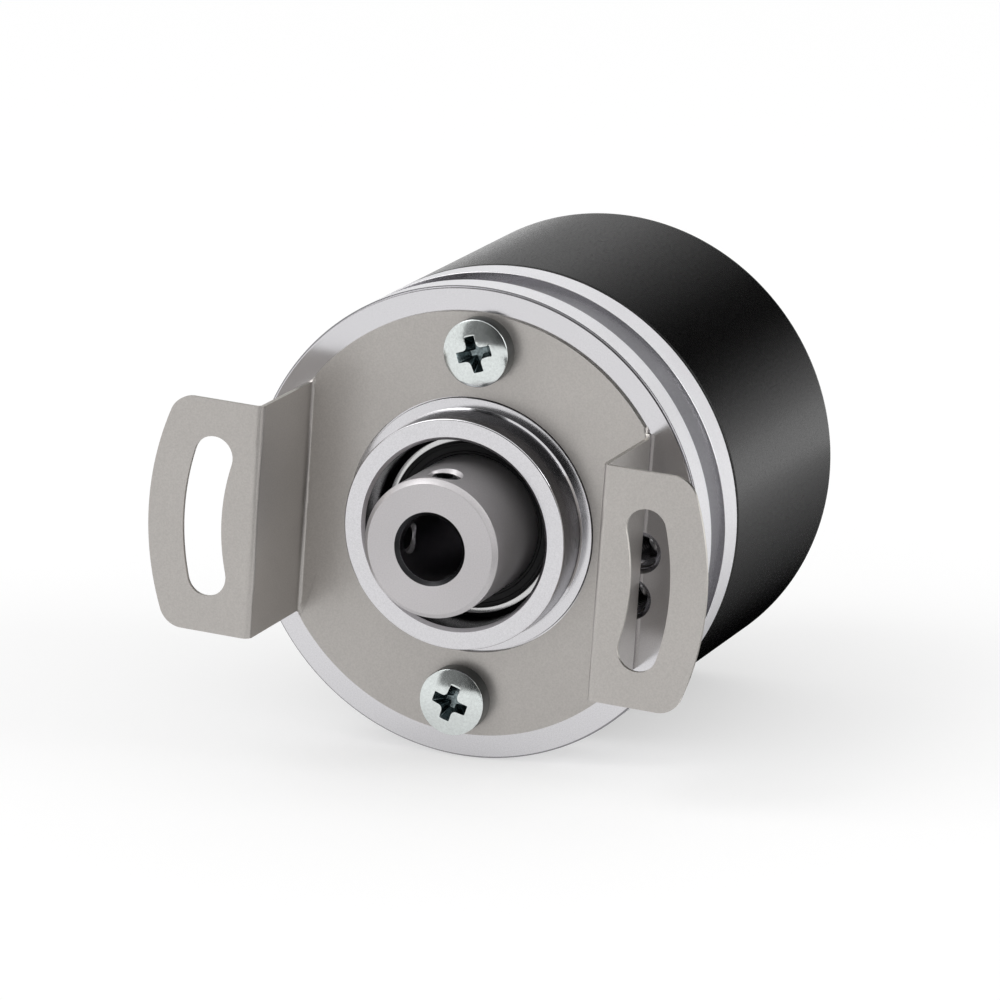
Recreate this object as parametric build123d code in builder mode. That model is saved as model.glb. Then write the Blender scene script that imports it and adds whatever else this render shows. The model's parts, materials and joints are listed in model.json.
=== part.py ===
"""Incremental rotary encoder with a hollow shaft, a servo flange and a sprung stator coupling.

Millimetres. The shaft turns about the Y axis. The front, where the machine's shaft goes in, faces -Y,
and +Z is up. The origin is on the shaft axis, in the plane of the flange's front face.
Every length called a station is a distance along Y from that face, and is negative in front of it.
"""

import math
import os

from build123d import *

# Flange: two rings with the servo clamp groove between them, and the bearing collar in front
flange_radius = 29.0
front_ring_length = 4.0
groove_width = 4.9
groove_depth = 2.5
rear_ring_length = 4.2
collar_length = 5.9
collar_radius = 14.1
shoulder_radius = 14.7
edge_break = 0.4
spigot_length = 3.5
spigot_wall = 1.5
rear_hub_length = 4.4
rear_hub_wall = 1.3

# Thin sealed ball bearings, two alike
bearing_bore_radius = 8.5
bearing_outer_radius = 11.5
bearing_width = 4.0
bearing_recess = 5.6
bearing_spread = 9.0
inner_ring_wall = 0.5
outer_ring_lip = 1.3
race_depth = 0.6
ball_radius = 0.85
seal_thickness = 0.5
seal_recess = 0.15
preload_spring_height = 0.6
preload_spring_sheet = 0.3

# Hollow shaft, closed at the back
shaft_front_length = 13.5
shaft_bore_radius = 4.0
shaft_bore_depth = 28.0
shaft_bore_chamfer = 0.5
shaft_tail_radius = 7.0
shaft_tail_length = 7.1
set_screw_radius = 2.0
set_screw_length = 4.0
set_screw_setback = 3.5
set_screw_sink = 0.3
set_screw_socket = 2.0
set_screw_socket_depth = 2.0
countersink_extra = 0.4

# Stator coupling, bent from one spring sheet
sheet = 0.5
plate_radius = 26.0
plate_hole_radius = 15.7
web_outer_face = 22.0
web_half_height = 14.3
web_length = 15.0
bend_radius = 0.8
tab_radius = 35.4
tab_corner_radius = 3.0
web_relief_radius = 0.8
slot_circle_radius = 28.4
slot_width = 5.0
slot_half_angle = 15.0
plate_screw_hole_radius = 2.3

# Screws that hold the coupling, and the threaded holes of the flange face
face_hole_circle_radius = 21.6
face_hole_radius = 2.0
face_hole_depth = 8.0
face_hole_chamfer = 0.5
second_hole_set_angle = -15.6
coupling_screw_head_radius = 4.1
coupling_screw_head_height = 3.0
coupling_screw_crown_height = 0.7
coupling_screw_length = 7.5
recess_span = 4.5
recess_width = 1.2
recess_depth = 2.0
upper_recess_turn = 15.0
lower_recess_turn = -22.0

# Housing: a drawn can closed at the back
housing_length = 35.6
housing_wall = 1.5
housing_rear_wall = 1.8
housing_rear_chamfer = 0.4
gasket_width = 1.4
gasket_depth = 0.75
gasket_setback = 1.1

# Long screws that clamp the housing, the spacers and the boards to the flange
housing_screw_radius = 1.25
housing_screw_grip = 4.0
housing_screw_head_radius = 2.5
housing_recess_span = 2.8
housing_recess_width = 0.7
housing_recess_depth = 0.8
housing_screw_angles = (30.0, 150.0, 270.0)
spacer_width = 4.5
spacer_disc_gap = 0.6
rear_spacer_length = 7.9

# Code disc and optics
hub_radius = 10.5
hub_length = 4.5
disc_pilot_radius = 8.0
disc_thickness = 1.0
track_margin = 1.8
optics_gap = 0.3
lens_radius = 2.0
lens_length = 2.6
lens_proud = 0.4
led_radius = 1.5
led_length = 4.0
led_holder_width = 9.0
led_holder_height = 5.4
led_holder_gap = 0.2
reticle_width = 10.0
reticle_height = 6.0
reticle_thickness = 0.6
sensor_width = 11.0
sensor_height = 7.0
sensor_thickness = 1.5

# Circuit boards
board_clearance = 1.0
board_thickness = 1.6
header_width = 16.0
header_height = 4.0
header_drop = 14.0
chip_thickness = 1.7
chip_layout = ((-9.0, 9.0, 10.0, 6.0), (9.0, 9.0, 7.0, 7.0), (0.0, -6.0, 5.0, 4.0))
capacitor_radius = 3.0
capacitor_height = 6.0
capacitor_angles = (200.0, 340.0)

# Round connector at the back, with a male screw thread
connector_thread_radius = 11.5
connector_thread_length = 10.3
connector_flange_radius = 13.5
connector_flange_length = 2.0
connector_spigot_radius = 8.6
connector_wall = 1.8
connector_spigot_wall = 1.0
connector_nut_width = 22.0
connector_nut_length = 2.6
insert_flange_length = 2.0
pin_radius = 0.5
outer_pin_circle_radius = 6.0
outer_pin_count = 8
pin_end_setback = 2.0

# Clearances
slip = 0.05
running_gap = 0.05

# Stations that follow from the lengths above
flange_rear = front_ring_length + groove_width + rear_ring_length
spigot_end = flange_rear + spigot_length
rear_hub_end = flange_rear + rear_hub_length
front_bearing_start = -collar_length + bearing_recess
web_start = front_bearing_start + bearing_width
rear_bearing_start = web_start + bearing_spread
web_end = rear_bearing_start - preload_spring_height
rear_bearing_end = rear_bearing_start + bearing_width
hub_start = rear_hub_end + edge_break
disc_start = hub_start + hub_length
disc_end = disc_start + disc_thickness
reticle_start = disc_end + optics_gap
sensor_start = reticle_start + reticle_thickness
scanning_board_start = sensor_start + sensor_thickness
scanning_board_end = scanning_board_start + board_thickness
housing_end = flange_rear + housing_length
rear_wall_start = housing_end - housing_rear_wall
output_board_end = rear_wall_start - rear_spacer_length
output_board_start = output_board_end - board_thickness
housing_screw_end = flange_rear - housing_screw_grip
connector_thread_start = housing_end + connector_flange_length
connector_end = connector_thread_start + connector_thread_length
connector_spigot_start = rear_wall_start - connector_nut_length - slip
plate_front = -sheet
tab_front = plate_front - web_length
set_screw_station = -shaft_front_length + set_screw_setback

# Radii that follow
groove_radius = flange_radius - groove_depth
housing_bore_radius = flange_radius - housing_wall
spigot_radius = housing_bore_radius - slip
spigot_bore_radius = spigot_radius - spigot_wall
outer_lip_radius = bearing_outer_radius - outer_ring_lip
race_radius = outer_lip_radius + race_depth
inner_ring_radius = bearing_bore_radius + inner_ring_wall
ball_circle_radius = (inner_ring_radius + race_radius) / 2
rear_hub_radius = bearing_outer_radius + rear_hub_wall
optics_radius = rear_hub_radius + led_holder_gap + led_holder_height / 2
disc_radius = optics_radius + track_margin
spacer_circle_radius = disc_radius + spacer_disc_gap + spacer_width / 2
board_radius = housing_bore_radius - board_clearance
housing_screw_hole_radius = housing_screw_radius + slip

os.makedirs("parts", exist_ok=True)


def square_plane(station):
    """A plane square to the shaft axis that faces the front, with X across and Z up."""
    return Plane.XZ.offset(-station)


def outline(*points):
    """A closed flat outline through points of radius and station, ready to be turned about the axis."""
    with BuildSketch(Plane.XY) as flat:
        with BuildLine():
            Polyline(*points, close=True)
        make_face()
    return flat.sketch


def plain_ring(bore_radius, radius, start, end):
    """The outline of a ring with square edges."""
    return outline((bore_radius, start), (radius, start), (radius, end), (bore_radius, end))


def write(builder, node):
    """Label a finished piece and write it as a STEP file of its own."""
    builder.part.label = node
    export_step(builder.part, f"parts/{node}.step")


# Flange, with its bearing collar, servo groove, spigot for the housing and rear bearing hub
with BuildPart() as flange:
    revolve(
        outline(
            (bearing_outer_radius + edge_break, -collar_length),
            (collar_radius - edge_break / 2, -collar_length),
            (collar_radius, -collar_length + edge_break / 2),
            (collar_radius, plate_front),
            (shoulder_radius, plate_front),
            (shoulder_radius, 0),
            (flange_radius, 0),
            (flange_radius, front_ring_length),
            (groove_radius, front_ring_length),
            (groove_radius, front_ring_length + groove_width),
            (flange_radius, front_ring_length + groove_width),
            (flange_radius, flange_rear),
            (spigot_radius, flange_rear),
            (spigot_radius, flange_rear + gasket_setback),
            (spigot_radius - gasket_depth, flange_rear + gasket_setback),
            (spigot_radius - gasket_depth, flange_rear + gasket_setback + gasket_width),
            (spigot_radius, flange_rear + gasket_setback + gasket_width),
            (spigot_radius, spigot_end),
            (spigot_bore_radius, spigot_end),
            (spigot_bore_radius, flange_rear),
            (rear_hub_radius, flange_rear),
            (rear_hub_radius, rear_hub_end),
            (bearing_outer_radius, rear_hub_end),
            (bearing_outer_radius, web_end),
            (outer_lip_radius, web_end),
            (outer_lip_radius, web_start),
            (bearing_outer_radius, web_start),
            (bearing_outer_radius, -collar_length + edge_break),
        ),
        axis=Axis.Y,
    )
    # Threaded holes of the front face: four for the coupling and three turned beside them
    mouth = face_hole_radius + slip
    with BuildSketch(square_plane(0)) as face_holes:
        with PolarLocations(face_hole_circle_radius, 4):
            Circle(mouth)
        with PolarLocations(face_hole_circle_radius, 3, start_angle=second_hole_set_angle):
            Circle(mouth)
    extrude(amount=-face_hole_depth, mode=Mode.SUBTRACT)
    chamfer(
        flange.edges().filter_by(GeomType.CIRCLE).filter_by(lambda e: abs(e.radius - mouth) < slip / 2)
        .group_by(Axis.Y)[0],
        face_hole_chamfer,
    )
    # Threaded holes of the rear face for the long housing screws
    with BuildSketch(square_plane(flange_rear)):
        for angle in housing_screw_angles:
            with PolarLocations(spacer_circle_radius, 1, start_angle=angle):
                Circle(housing_screw_hole_radius)
    extrude(amount=housing_screw_grip + slip, mode=Mode.SUBTRACT)
write(flange, "flange")


def bearing(start, seal_at_front, prefix):
    """Make one sealed bearing: its two rings, the seal on its outward side and its train of balls."""
    end = start + bearing_width
    middle = start + bearing_width / 2
    race_half = ball_radius + running_gap
    with BuildPart() as outer_ring:
        revolve(
            outline(
                (outer_lip_radius, start),
                (bearing_outer_radius - edge_break, start),
                (bearing_outer_radius, start + edge_break),
                (bearing_outer_radius, end),
                (outer_lip_radius, end),
                (outer_lip_radius, middle + race_half),
                (race_radius, middle + race_half),
                (race_radius, middle - race_half),
                (outer_lip_radius, middle - race_half),
            ),
            axis=Axis.Y,
        )
    write(outer_ring, f"{prefix}_outer_ring")
    with BuildPart() as inner_ring:
        revolve(plain_ring(bearing_bore_radius, inner_ring_radius, start, end), axis=Axis.Y)
    write(inner_ring, f"{prefix}_inner_ring")
    seal_start = start + seal_recess if seal_at_front else end - seal_recess - seal_thickness
    with BuildPart() as seal:
        revolve(
            plain_ring(
                inner_ring_radius + running_gap, outer_lip_radius, seal_start, seal_start + seal_thickness
            ),
            axis=Axis.Y,
        )
    write(seal, f"{prefix}_seal")
    # The balls and their cage are sealed in, so they are one ring with the balls' section
    with BuildPart() as ball_train:
        with BuildSketch(Plane.XY):
            with Locations((ball_circle_radius, middle)):
                RegularPolygon(ball_radius, 6, major_radius=False, rotation=30)
        revolve(axis=Axis.Y)
    write(ball_train, f"{prefix}_ball_train")


bearing(front_bearing_start, True, "front_bearing")
bearing(rear_bearing_start, False, "rear_bearing")


# Disc spring that loads the two bearings against each other
with BuildPart() as preload_spring:
    revolve(
        outline(
            (outer_lip_radius, web_end),
            (bearing_outer_radius - slip, rear_bearing_start - preload_spring_sheet),
            (bearing_outer_radius - slip, rear_bearing_start),
            (outer_lip_radius, web_end + preload_spring_sheet),
        ),
        axis=Axis.Y,
    )
write(preload_spring, "preload_spring")

# Sleeve on the shaft between the two inner rings
with BuildPart() as inner_spacer:
    revolve(
        plain_ring(bearing_bore_radius, inner_ring_radius, web_start, rear_bearing_start),
        axis=Axis.Y,
    )
write(inner_spacer, "inner_spacer")

# Hollow shaft with its blind bore and two threaded holes for the set screws
with BuildPart() as hollow_shaft:
    bore_end = -shaft_front_length + shaft_bore_depth
    revolve(
        outline(
            (0, bore_end),
            (shaft_bore_radius, bore_end),
            (shaft_bore_radius, -shaft_front_length + shaft_bore_chamfer),
            (shaft_bore_radius + shaft_bore_chamfer, -shaft_front_length),
            (bearing_bore_radius - edge_break, -shaft_front_length),
            (bearing_bore_radius, -shaft_front_length + edge_break),
            (bearing_bore_radius, hub_start),
            (shaft_tail_radius, hub_start),
            (shaft_tail_radius, hub_start + shaft_tail_length),
            (0, hub_start + shaft_tail_length),
        ),
        axis=Axis.Y,
    )
    set_screw_planes = (
        Plane((0, set_screw_station, bearing_bore_radius), x_dir=(1, 0, 0), z_dir=(0, 0, 1)),
        Plane((-bearing_bore_radius, set_screw_station, 0), x_dir=(0, 0, 1), z_dir=(-1, 0, 0)),
    )
    for plane in set_screw_planes:
        with Locations(plane):
            CounterSinkHole(
                radius=set_screw_radius + slip,
                counter_sink_radius=set_screw_radius + countersink_extra,
                depth=bearing_bore_radius - shaft_bore_radius / 2,
                counter_sink_angle=90,
            )
write(hollow_shaft, "hollow_shaft")

# Set screws with a hexagon socket, one in each hole
for node, plane in zip(("top_set_screw", "side_set_screw"), set_screw_planes):
    with BuildPart() as set_screw:
        with BuildSketch(plane.offset(-set_screw_sink)):
            Circle(set_screw_radius)
        extrude(amount=-set_screw_length)
        with BuildSketch(plane.offset(-set_screw_sink)):
            RegularPolygon(set_screw_socket / 2, 6, major_radius=False)
        extrude(amount=-set_screw_socket_depth, mode=Mode.SUBTRACT)
    write(set_screw, node)

# Stator coupling: the plate with its hole, the two webs and the two slotted tabs
with BuildPart() as stator_coupling:
    for side in (1, -1):
        # The bent section, seen from above: tab, web and plate, one sheet thick
        with BuildSketch(Plane.XY) as section:
            with BuildLine():
                FilletPolyline(
                    (side * plate_hole_radius, plate_front),
                    (side * (web_outer_face - sheet), plate_front),
                    (side * (web_outer_face - sheet), tab_front),
                    (side * tab_radius, tab_front),
                    radius=bend_radius,
                )
                FilletPolyline(
                    (side * tab_radius, tab_front + sheet),
                    (side * web_outer_face, tab_front + sheet),
                    (side * web_outer_face, 0),
                    (side * plate_hole_radius, 0),
                    radius=bend_radius,
                )
                Line((side * tab_radius, tab_front), (side * tab_radius, tab_front + sheet))
                Line((side * plate_hole_radius, 0), (side * plate_hole_radius, plate_front))
            make_face()
        extrude(amount=plate_radius, both=True)
    # Seen from the front, the tabs end in an arc about the shaft axis and run into the round plate
    with BuildSketch(square_plane(0)) as front_outline:
        Circle(tab_radius)
        Rectangle(2 * tab_radius, 2 * web_half_height, mode=Mode.INTERSECT)
        fillet(front_outline.vertices(), tab_corner_radius)
        Circle(plate_radius)
        fillet(
            front_outline.vertices().filter_by(lambda v: abs(Vector(v).length - plate_radius) < slip),
            web_relief_radius,
        )
    extrude(amount=-tab_front, mode=Mode.INTERSECT)
    with BuildSketch(square_plane(0)) as plate:
        Circle(plate_radius)
        Rectangle(2 * (web_outer_face - bend_radius - sheet), 2 * plate_radius, mode=Mode.INTERSECT)
    extrude(amount=sheet)
    # The centre hole, the holes for its two screws and the curved slots
    with BuildSketch(square_plane(0)):
        Circle(plate_hole_radius)
        with PolarLocations(face_hole_circle_radius, 2, start_angle=90):
            Circle(plate_screw_hole_radius)
    extrude(amount=sheet, mode=Mode.SUBTRACT)
    with BuildSketch(square_plane(tab_front + sheet)) as slots:
        for middle_angle in (0, 180):
            with BuildLine() as slot_middle:
                CenterArc(
                    (0, 0), slot_circle_radius, middle_angle - slot_half_angle, 2 * slot_half_angle
                )
            SlotArc(slot_middle.edge(), slot_width)
    extrude(amount=sheet, mode=Mode.SUBTRACT)
write(stator_coupling, "stator_coupling")

# Pan head screws that hold the coupling, each with its cross recess as it stands in the real one
with BuildPart() as coupling_screws:
    head_top = plate_front - coupling_screw_head_height
    crown_start = head_top + coupling_screw_crown_height
    screws = (
        (face_hole_circle_radius, upper_recess_turn),
        (-face_hole_circle_radius, lower_recess_turn),
    )
    for height, turn in screws:
        with BuildSketch(Plane((0, 0, height), x_dir=(1, 0, 0), z_dir=(0, 0, 1))):
            with BuildLine():
                TangentArc((0, head_top), (coupling_screw_head_radius, crown_start), tangent=(1, 0))
                Polyline(
                    (coupling_screw_head_radius, crown_start),
                    (coupling_screw_head_radius, plate_front),
                    (face_hole_radius, plate_front),
                    (face_hole_radius, plate_front + coupling_screw_length),
                    (0, plate_front + coupling_screw_length),
                    (0, head_top),
                )
            make_face()
        revolve(axis=Axis((0, 0, height), (0, 1, 0)))
        with BuildSketch(square_plane(head_top)):
            with Locations(Location((0, height, 0), (0, 0, turn))):
                Rectangle(recess_span, recess_width)
                Rectangle(recess_width, recess_span)
        extrude(amount=-recess_depth, mode=Mode.SUBTRACT)
write(coupling_screws, "coupling_screws")

# Hub on the shaft's tail, with a step that centres the disc
with BuildPart() as disc_hub:
    revolve(
        outline(
            (shaft_tail_radius, hub_start),
            (hub_radius, hub_start),
            (hub_radius, disc_start),
            (disc_pilot_radius, disc_start),
            (disc_pilot_radius, disc_end),
            (shaft_tail_radius, disc_end),
        ),
        axis=Axis.Y,
    )
write(disc_hub, "disc_hub")

with BuildPart() as code_disc:
    revolve(plain_ring(disc_pilot_radius, disc_radius, disc_start, disc_end), axis=Axis.Y)
write(code_disc, "code_disc")

# Lamp side of the optics: a holder on the flange with the emitter and its lens in one stepped hole
lens_end = disc_start - optics_gap
lens_start = lens_end - lens_length
led_start = lens_start - led_length
holder_end = lens_end - lens_proud
with BuildPart() as led_holder:
    with BuildSketch(square_plane(flange_rear)):
        with Locations((0, optics_radius)):
            Rectangle(led_holder_width, led_holder_height)
    extrude(amount=-(holder_end - flange_rear))
    with BuildSketch(square_plane(holder_end)):
        with Locations((0, optics_radius)):
            Circle(lens_radius)
    extrude(amount=holder_end - lens_start, mode=Mode.SUBTRACT)
    with BuildSketch(square_plane(lens_start)):
        with Locations((0, optics_radius)):
            Circle(led_radius)
    extrude(amount=led_length, mode=Mode.SUBTRACT)
write(led_holder, "led_holder")

with BuildPart() as led:
    with BuildSketch(square_plane(lens_start)):
        with Locations((0, optics_radius)):
            Circle(led_radius)
    extrude(amount=led_length)
write(led, "led")

with BuildPart() as collimator_lens:
    with BuildSketch(square_plane(lens_start)):
        with Locations((0, optics_radius)):
            Circle(lens_radius)
    extrude(amount=-lens_length)
    chamfer(collimator_lens.faces().sort_by(Axis.Y)[-1].edges(), lens_radius / 3)
write(collimator_lens, "collimator_lens")

# Sensor side of the optics, on the front of the scanning board
with BuildPart() as reticle:
    with BuildSketch(square_plane(reticle_start)):
        with Locations((0, optics_radius)):
            Rectangle(reticle_width, reticle_height)
    extrude(amount=-reticle_thickness)
write(reticle, "reticle")

with BuildPart() as sensor_array:
    with BuildSketch(square_plane(sensor_start)):
        with Locations((0, optics_radius)):
            Rectangle(sensor_width, sensor_height)
    extrude(amount=-sensor_thickness)
write(sensor_array, "sensor_array")

# The two circuit boards, clamped between the spacers
for node, start in (("scanning_board", scanning_board_start), ("output_board", output_board_start)):
    with BuildPart() as board:
        with BuildSketch(square_plane(start)):
            Circle(board_radius)
            for angle in housing_screw_angles:
                with PolarLocations(spacer_circle_radius, 1, start_angle=angle):
                    Circle(housing_screw_hole_radius, mode=Mode.SUBTRACT)
        extrude(amount=-board_thickness)
    write(board, node)

# Header that joins the boards, and the parts on the back of the output board
with BuildPart() as board_header:
    with BuildSketch(square_plane(scanning_board_end)):
        with Locations((0, -header_drop)):
            Rectangle(header_width, header_height)
    extrude(amount=-(output_board_start - scanning_board_end))
write(board_header, "board_header")

with BuildPart() as board_chips:
    with BuildSketch(square_plane(output_board_start)):
        for across, up, width, height in chip_layout:
            with Locations((across, up)):
                Rectangle(width, height)
    extrude(amount=chip_thickness)
write(board_chips, "board_chips")

with BuildPart() as capacitors:
    with BuildSketch(square_plane(output_board_end)):
        for angle in capacitor_angles:
            with PolarLocations(spacer_circle_radius - capacitor_radius, 1, start_angle=angle):
                Circle(capacitor_radius)
    extrude(amount=-capacitor_height)
write(capacitors, "capacitors")

# Hexagonal spacers in three tiers, round the long screws
spacer_tiers = (
    ("front_spacers", flange_rear, scanning_board_start),
    ("middle_spacers", scanning_board_end, output_board_start),
    ("rear_spacers", output_board_end, rear_wall_start),
)
for node, start, end in spacer_tiers:
    with BuildPart() as spacers:
        with BuildSketch(square_plane(start)):
            for angle in housing_screw_angles:
                with PolarLocations(spacer_circle_radius, 1, start_angle=angle, rotate=False):
                    RegularPolygon(spacer_width / 2, 6, major_radius=False)
                    Circle(housing_screw_hole_radius, mode=Mode.SUBTRACT)
        extrude(amount=-(end - start))
    write(spacers, node)

# Housing can, closed at the back, with holes for its three screws and for the connector
with BuildPart() as housing:
    revolve(
        outline(
            (housing_bore_radius, flange_rear),
            (flange_radius, flange_rear),
            (flange_radius, housing_end - housing_rear_chamfer),
            (flange_radius - housing_rear_chamfer, housing_end),
            (connector_spigot_radius + slip, housing_end),
            (connector_spigot_radius + slip, rear_wall_start),
            (housing_bore_radius, rear_wall_start),
        ),
        axis=Axis.Y,
    )
    rear_face = Plane((0, housing_end, 0), x_dir=(1, 0, 0), z_dir=(0, 1, 0))
    for angle in housing_screw_angles:
        with Locations(rear_face):
            with PolarLocations(spacer_circle_radius, 1, start_angle=-angle):
                CounterSinkHole(
                    radius=housing_screw_hole_radius,
                    counter_sink_radius=housing_screw_head_radius + slip,
                    depth=housing_rear_wall,
                    counter_sink_angle=90,
                )
write(housing, "housing")

with BuildPart() as housing_gasket:
    gasket_start = flange_rear + gasket_setback
    revolve(
        plain_ring(
            spigot_radius - gasket_depth, housing_bore_radius, gasket_start, gasket_start + gasket_width
        ),
        axis=Axis.Y,
    )
write(housing_gasket, "housing_gasket")

# Long countersunk screws that hold the housing
with BuildPart() as housing_screws:
    head_height = housing_screw_head_radius - housing_screw_radius
    for angle in housing_screw_angles:
        with PolarLocations(spacer_circle_radius, 1, start_angle=angle) as places:
            place = places.locations[0].position
        centre = Axis((place.X, 0, place.Y), (0, 1, 0))
        with BuildSketch(Plane((place.X, 0, place.Y), x_dir=(1, 0, 0), z_dir=(0, 0, 1))):
            with BuildLine():
                Polyline(
                    (0, housing_end),
                    (housing_screw_head_radius, housing_end),
                    (housing_screw_radius, housing_end - head_height),
                    (housing_screw_radius, housing_screw_end),
                    (0, housing_screw_end),
                    close=True,
                )
            make_face()
        revolve(axis=centre)
        with BuildSketch(square_plane(housing_end)):
            with Locations((place.X, place.Y)):
                Rectangle(housing_recess_span, housing_recess_width)
                Rectangle(housing_recess_width, housing_recess_span)
        extrude(amount=housing_recess_depth, mode=Mode.SUBTRACT)
write(housing_screws, "housing_screws")

# Connector shell: thread for the plug's nut, flange on the housing and spigot through its wall
cavity_radius = connector_thread_radius - connector_wall
insert_radius = connector_spigot_radius - connector_spigot_wall
insert_flange_start = connector_thread_start
with BuildPart() as connector_shell:
    revolve(
        outline(
            (insert_radius, connector_spigot_start),
            (connector_spigot_radius, connector_spigot_start),
            (connector_spigot_radius, housing_end),
            (connector_flange_radius, housing_end),
            (connector_flange_radius, connector_thread_start),
            (connector_thread_radius, connector_thread_start),
            (connector_thread_radius, connector_end - edge_break),
            (connector_thread_radius - edge_break, connector_end),
            (cavity_radius, connector_end),
            (cavity_radius, insert_flange_start),
            (insert_radius, insert_flange_start),
        ),
        axis=Axis.Y,
    )
write(connector_shell, "connector_shell")

with BuildPart() as connector_nut:
    with BuildSketch(square_plane(rear_wall_start)):
        RegularPolygon(connector_nut_width / 2, 6, major_radius=False)
        Circle(connector_spigot_radius, mode=Mode.SUBTRACT)
    extrude(amount=connector_nut_length)
write(connector_nut, "connector_nut")

with BuildPart() as connector_insert:
    revolve(
        outline(
            (0, connector_spigot_start),
            (insert_radius, connector_spigot_start),
            (insert_radius, insert_flange_start),
            (cavity_radius, insert_flange_start),
            (cavity_radius, insert_flange_start + insert_flange_length),
            (0, insert_flange_start + insert_flange_length),
        ),
        axis=Axis.Y,
    )
    with BuildSketch(square_plane(connector_spigot_start)) as pin_layout:
        with PolarLocations(outer_pin_circle_radius, outer_pin_count):
            Circle(pin_radius)
        Circle(pin_radius)
    extrude(amount=-(connector_end - connector_spigot_start), mode=Mode.SUBTRACT)
write(connector_insert, "connector_insert")

# Contact pins, whose front ends are soldered to the output board
with BuildPart() as connector_pins:
    with BuildSketch(square_plane(output_board_end)):
        with PolarLocations(outer_pin_circle_radius, outer_pin_count):
            Circle(pin_radius)
        Circle(pin_radius)
    extrude(amount=-(connector_end - pin_end_setback - output_board_end))
write(connector_pins, "connector_pins")
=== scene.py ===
"""Rotary encoder with a hollow shaft: the looks of its pieces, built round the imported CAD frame.

Metres. The shaft turns about Y, the front faces -Y and +Z is up. A station is a distance along Y from the
flange's front face, and an outline is a list of corners given as radius, station and rounding.
"""

import json
import math

import bmesh
import bpy
from bpy.props import FloatProperty, FloatVectorProperty, PointerProperty
from bpy.types import Operator, Panel, PropertyGroup
from mathutils import Matrix, Vector


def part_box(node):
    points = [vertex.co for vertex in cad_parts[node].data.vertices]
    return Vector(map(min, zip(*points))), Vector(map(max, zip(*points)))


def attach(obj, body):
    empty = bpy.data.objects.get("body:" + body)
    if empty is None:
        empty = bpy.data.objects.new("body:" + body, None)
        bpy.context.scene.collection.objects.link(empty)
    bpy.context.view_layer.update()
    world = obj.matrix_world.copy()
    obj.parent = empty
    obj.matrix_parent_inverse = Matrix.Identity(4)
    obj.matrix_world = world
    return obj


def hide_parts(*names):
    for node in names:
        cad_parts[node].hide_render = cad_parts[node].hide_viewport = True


bl_info = {
    "name": "Rotary Encoder",
    "version": (1, 0, 0),
    "blender": (4, 5, 0),
    "location": "View3D > Sidebar > Encoder",
    "description": "Builds the pieces, finishes and studio of a hollow shaft rotary encoder",
    "category": "Object",
}

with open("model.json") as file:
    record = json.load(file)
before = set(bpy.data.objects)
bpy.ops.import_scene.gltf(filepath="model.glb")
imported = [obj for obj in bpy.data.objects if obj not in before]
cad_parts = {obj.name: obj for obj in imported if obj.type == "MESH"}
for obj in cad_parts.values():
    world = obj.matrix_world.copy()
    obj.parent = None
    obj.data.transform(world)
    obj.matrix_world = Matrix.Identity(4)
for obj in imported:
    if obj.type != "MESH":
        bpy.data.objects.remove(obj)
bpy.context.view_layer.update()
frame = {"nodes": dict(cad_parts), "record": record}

MM = 0.001
WHITE = (1, 1, 1, 1)
# Rows of points in each turn of the small screw threads
THREAD_ROWS = 7
# Points nearer than this are in the same place
TOUCHING = 1e-7

# Boxes of the CAD nodes that the outlines start from
flange_low, flange_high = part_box("flange")
housing_low, housing_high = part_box("housing")
coupling_low, coupling_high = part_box("stator_coupling")
shaft_low, shaft_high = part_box("hollow_shaft")
ring_low, ring_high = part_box("front_bearing_outer_ring")
inner_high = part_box("front_bearing_inner_ring")[1]
seal_low, seal_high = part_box("front_bearing_seal")
shell_low, shell_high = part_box("connector_shell")
insert_low, insert_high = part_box("connector_insert")
pins_low, pins_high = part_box("connector_pins")
top_screw_low, top_screw_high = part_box("top_set_screw")
coupling_screws_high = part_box("coupling_screws")[1]
housing_screws_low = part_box("housing_screws")[0]


def length(name, description, millimetres):
    """A size that a user can change."""
    default = millimetres * MM
    return FloatProperty(name=name, description=description, default=default, precision=5, unit="LENGTH")


def angle(name, description, degrees):
    """An angle that a user can change."""
    default = math.radians(degrees)
    return FloatProperty(name=name, description=description, default=default, subtype="ANGLE")


def amount(name, description, default):
    """A plain number that a user can change."""
    return FloatProperty(name=name, description=description, default=default)


def colour(name, description, default):
    """A colour that a user can change."""
    return FloatVectorProperty(
        name=name, description=description, default=default, subtype="COLOR", min=0.0, max=1.0
    )


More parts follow.
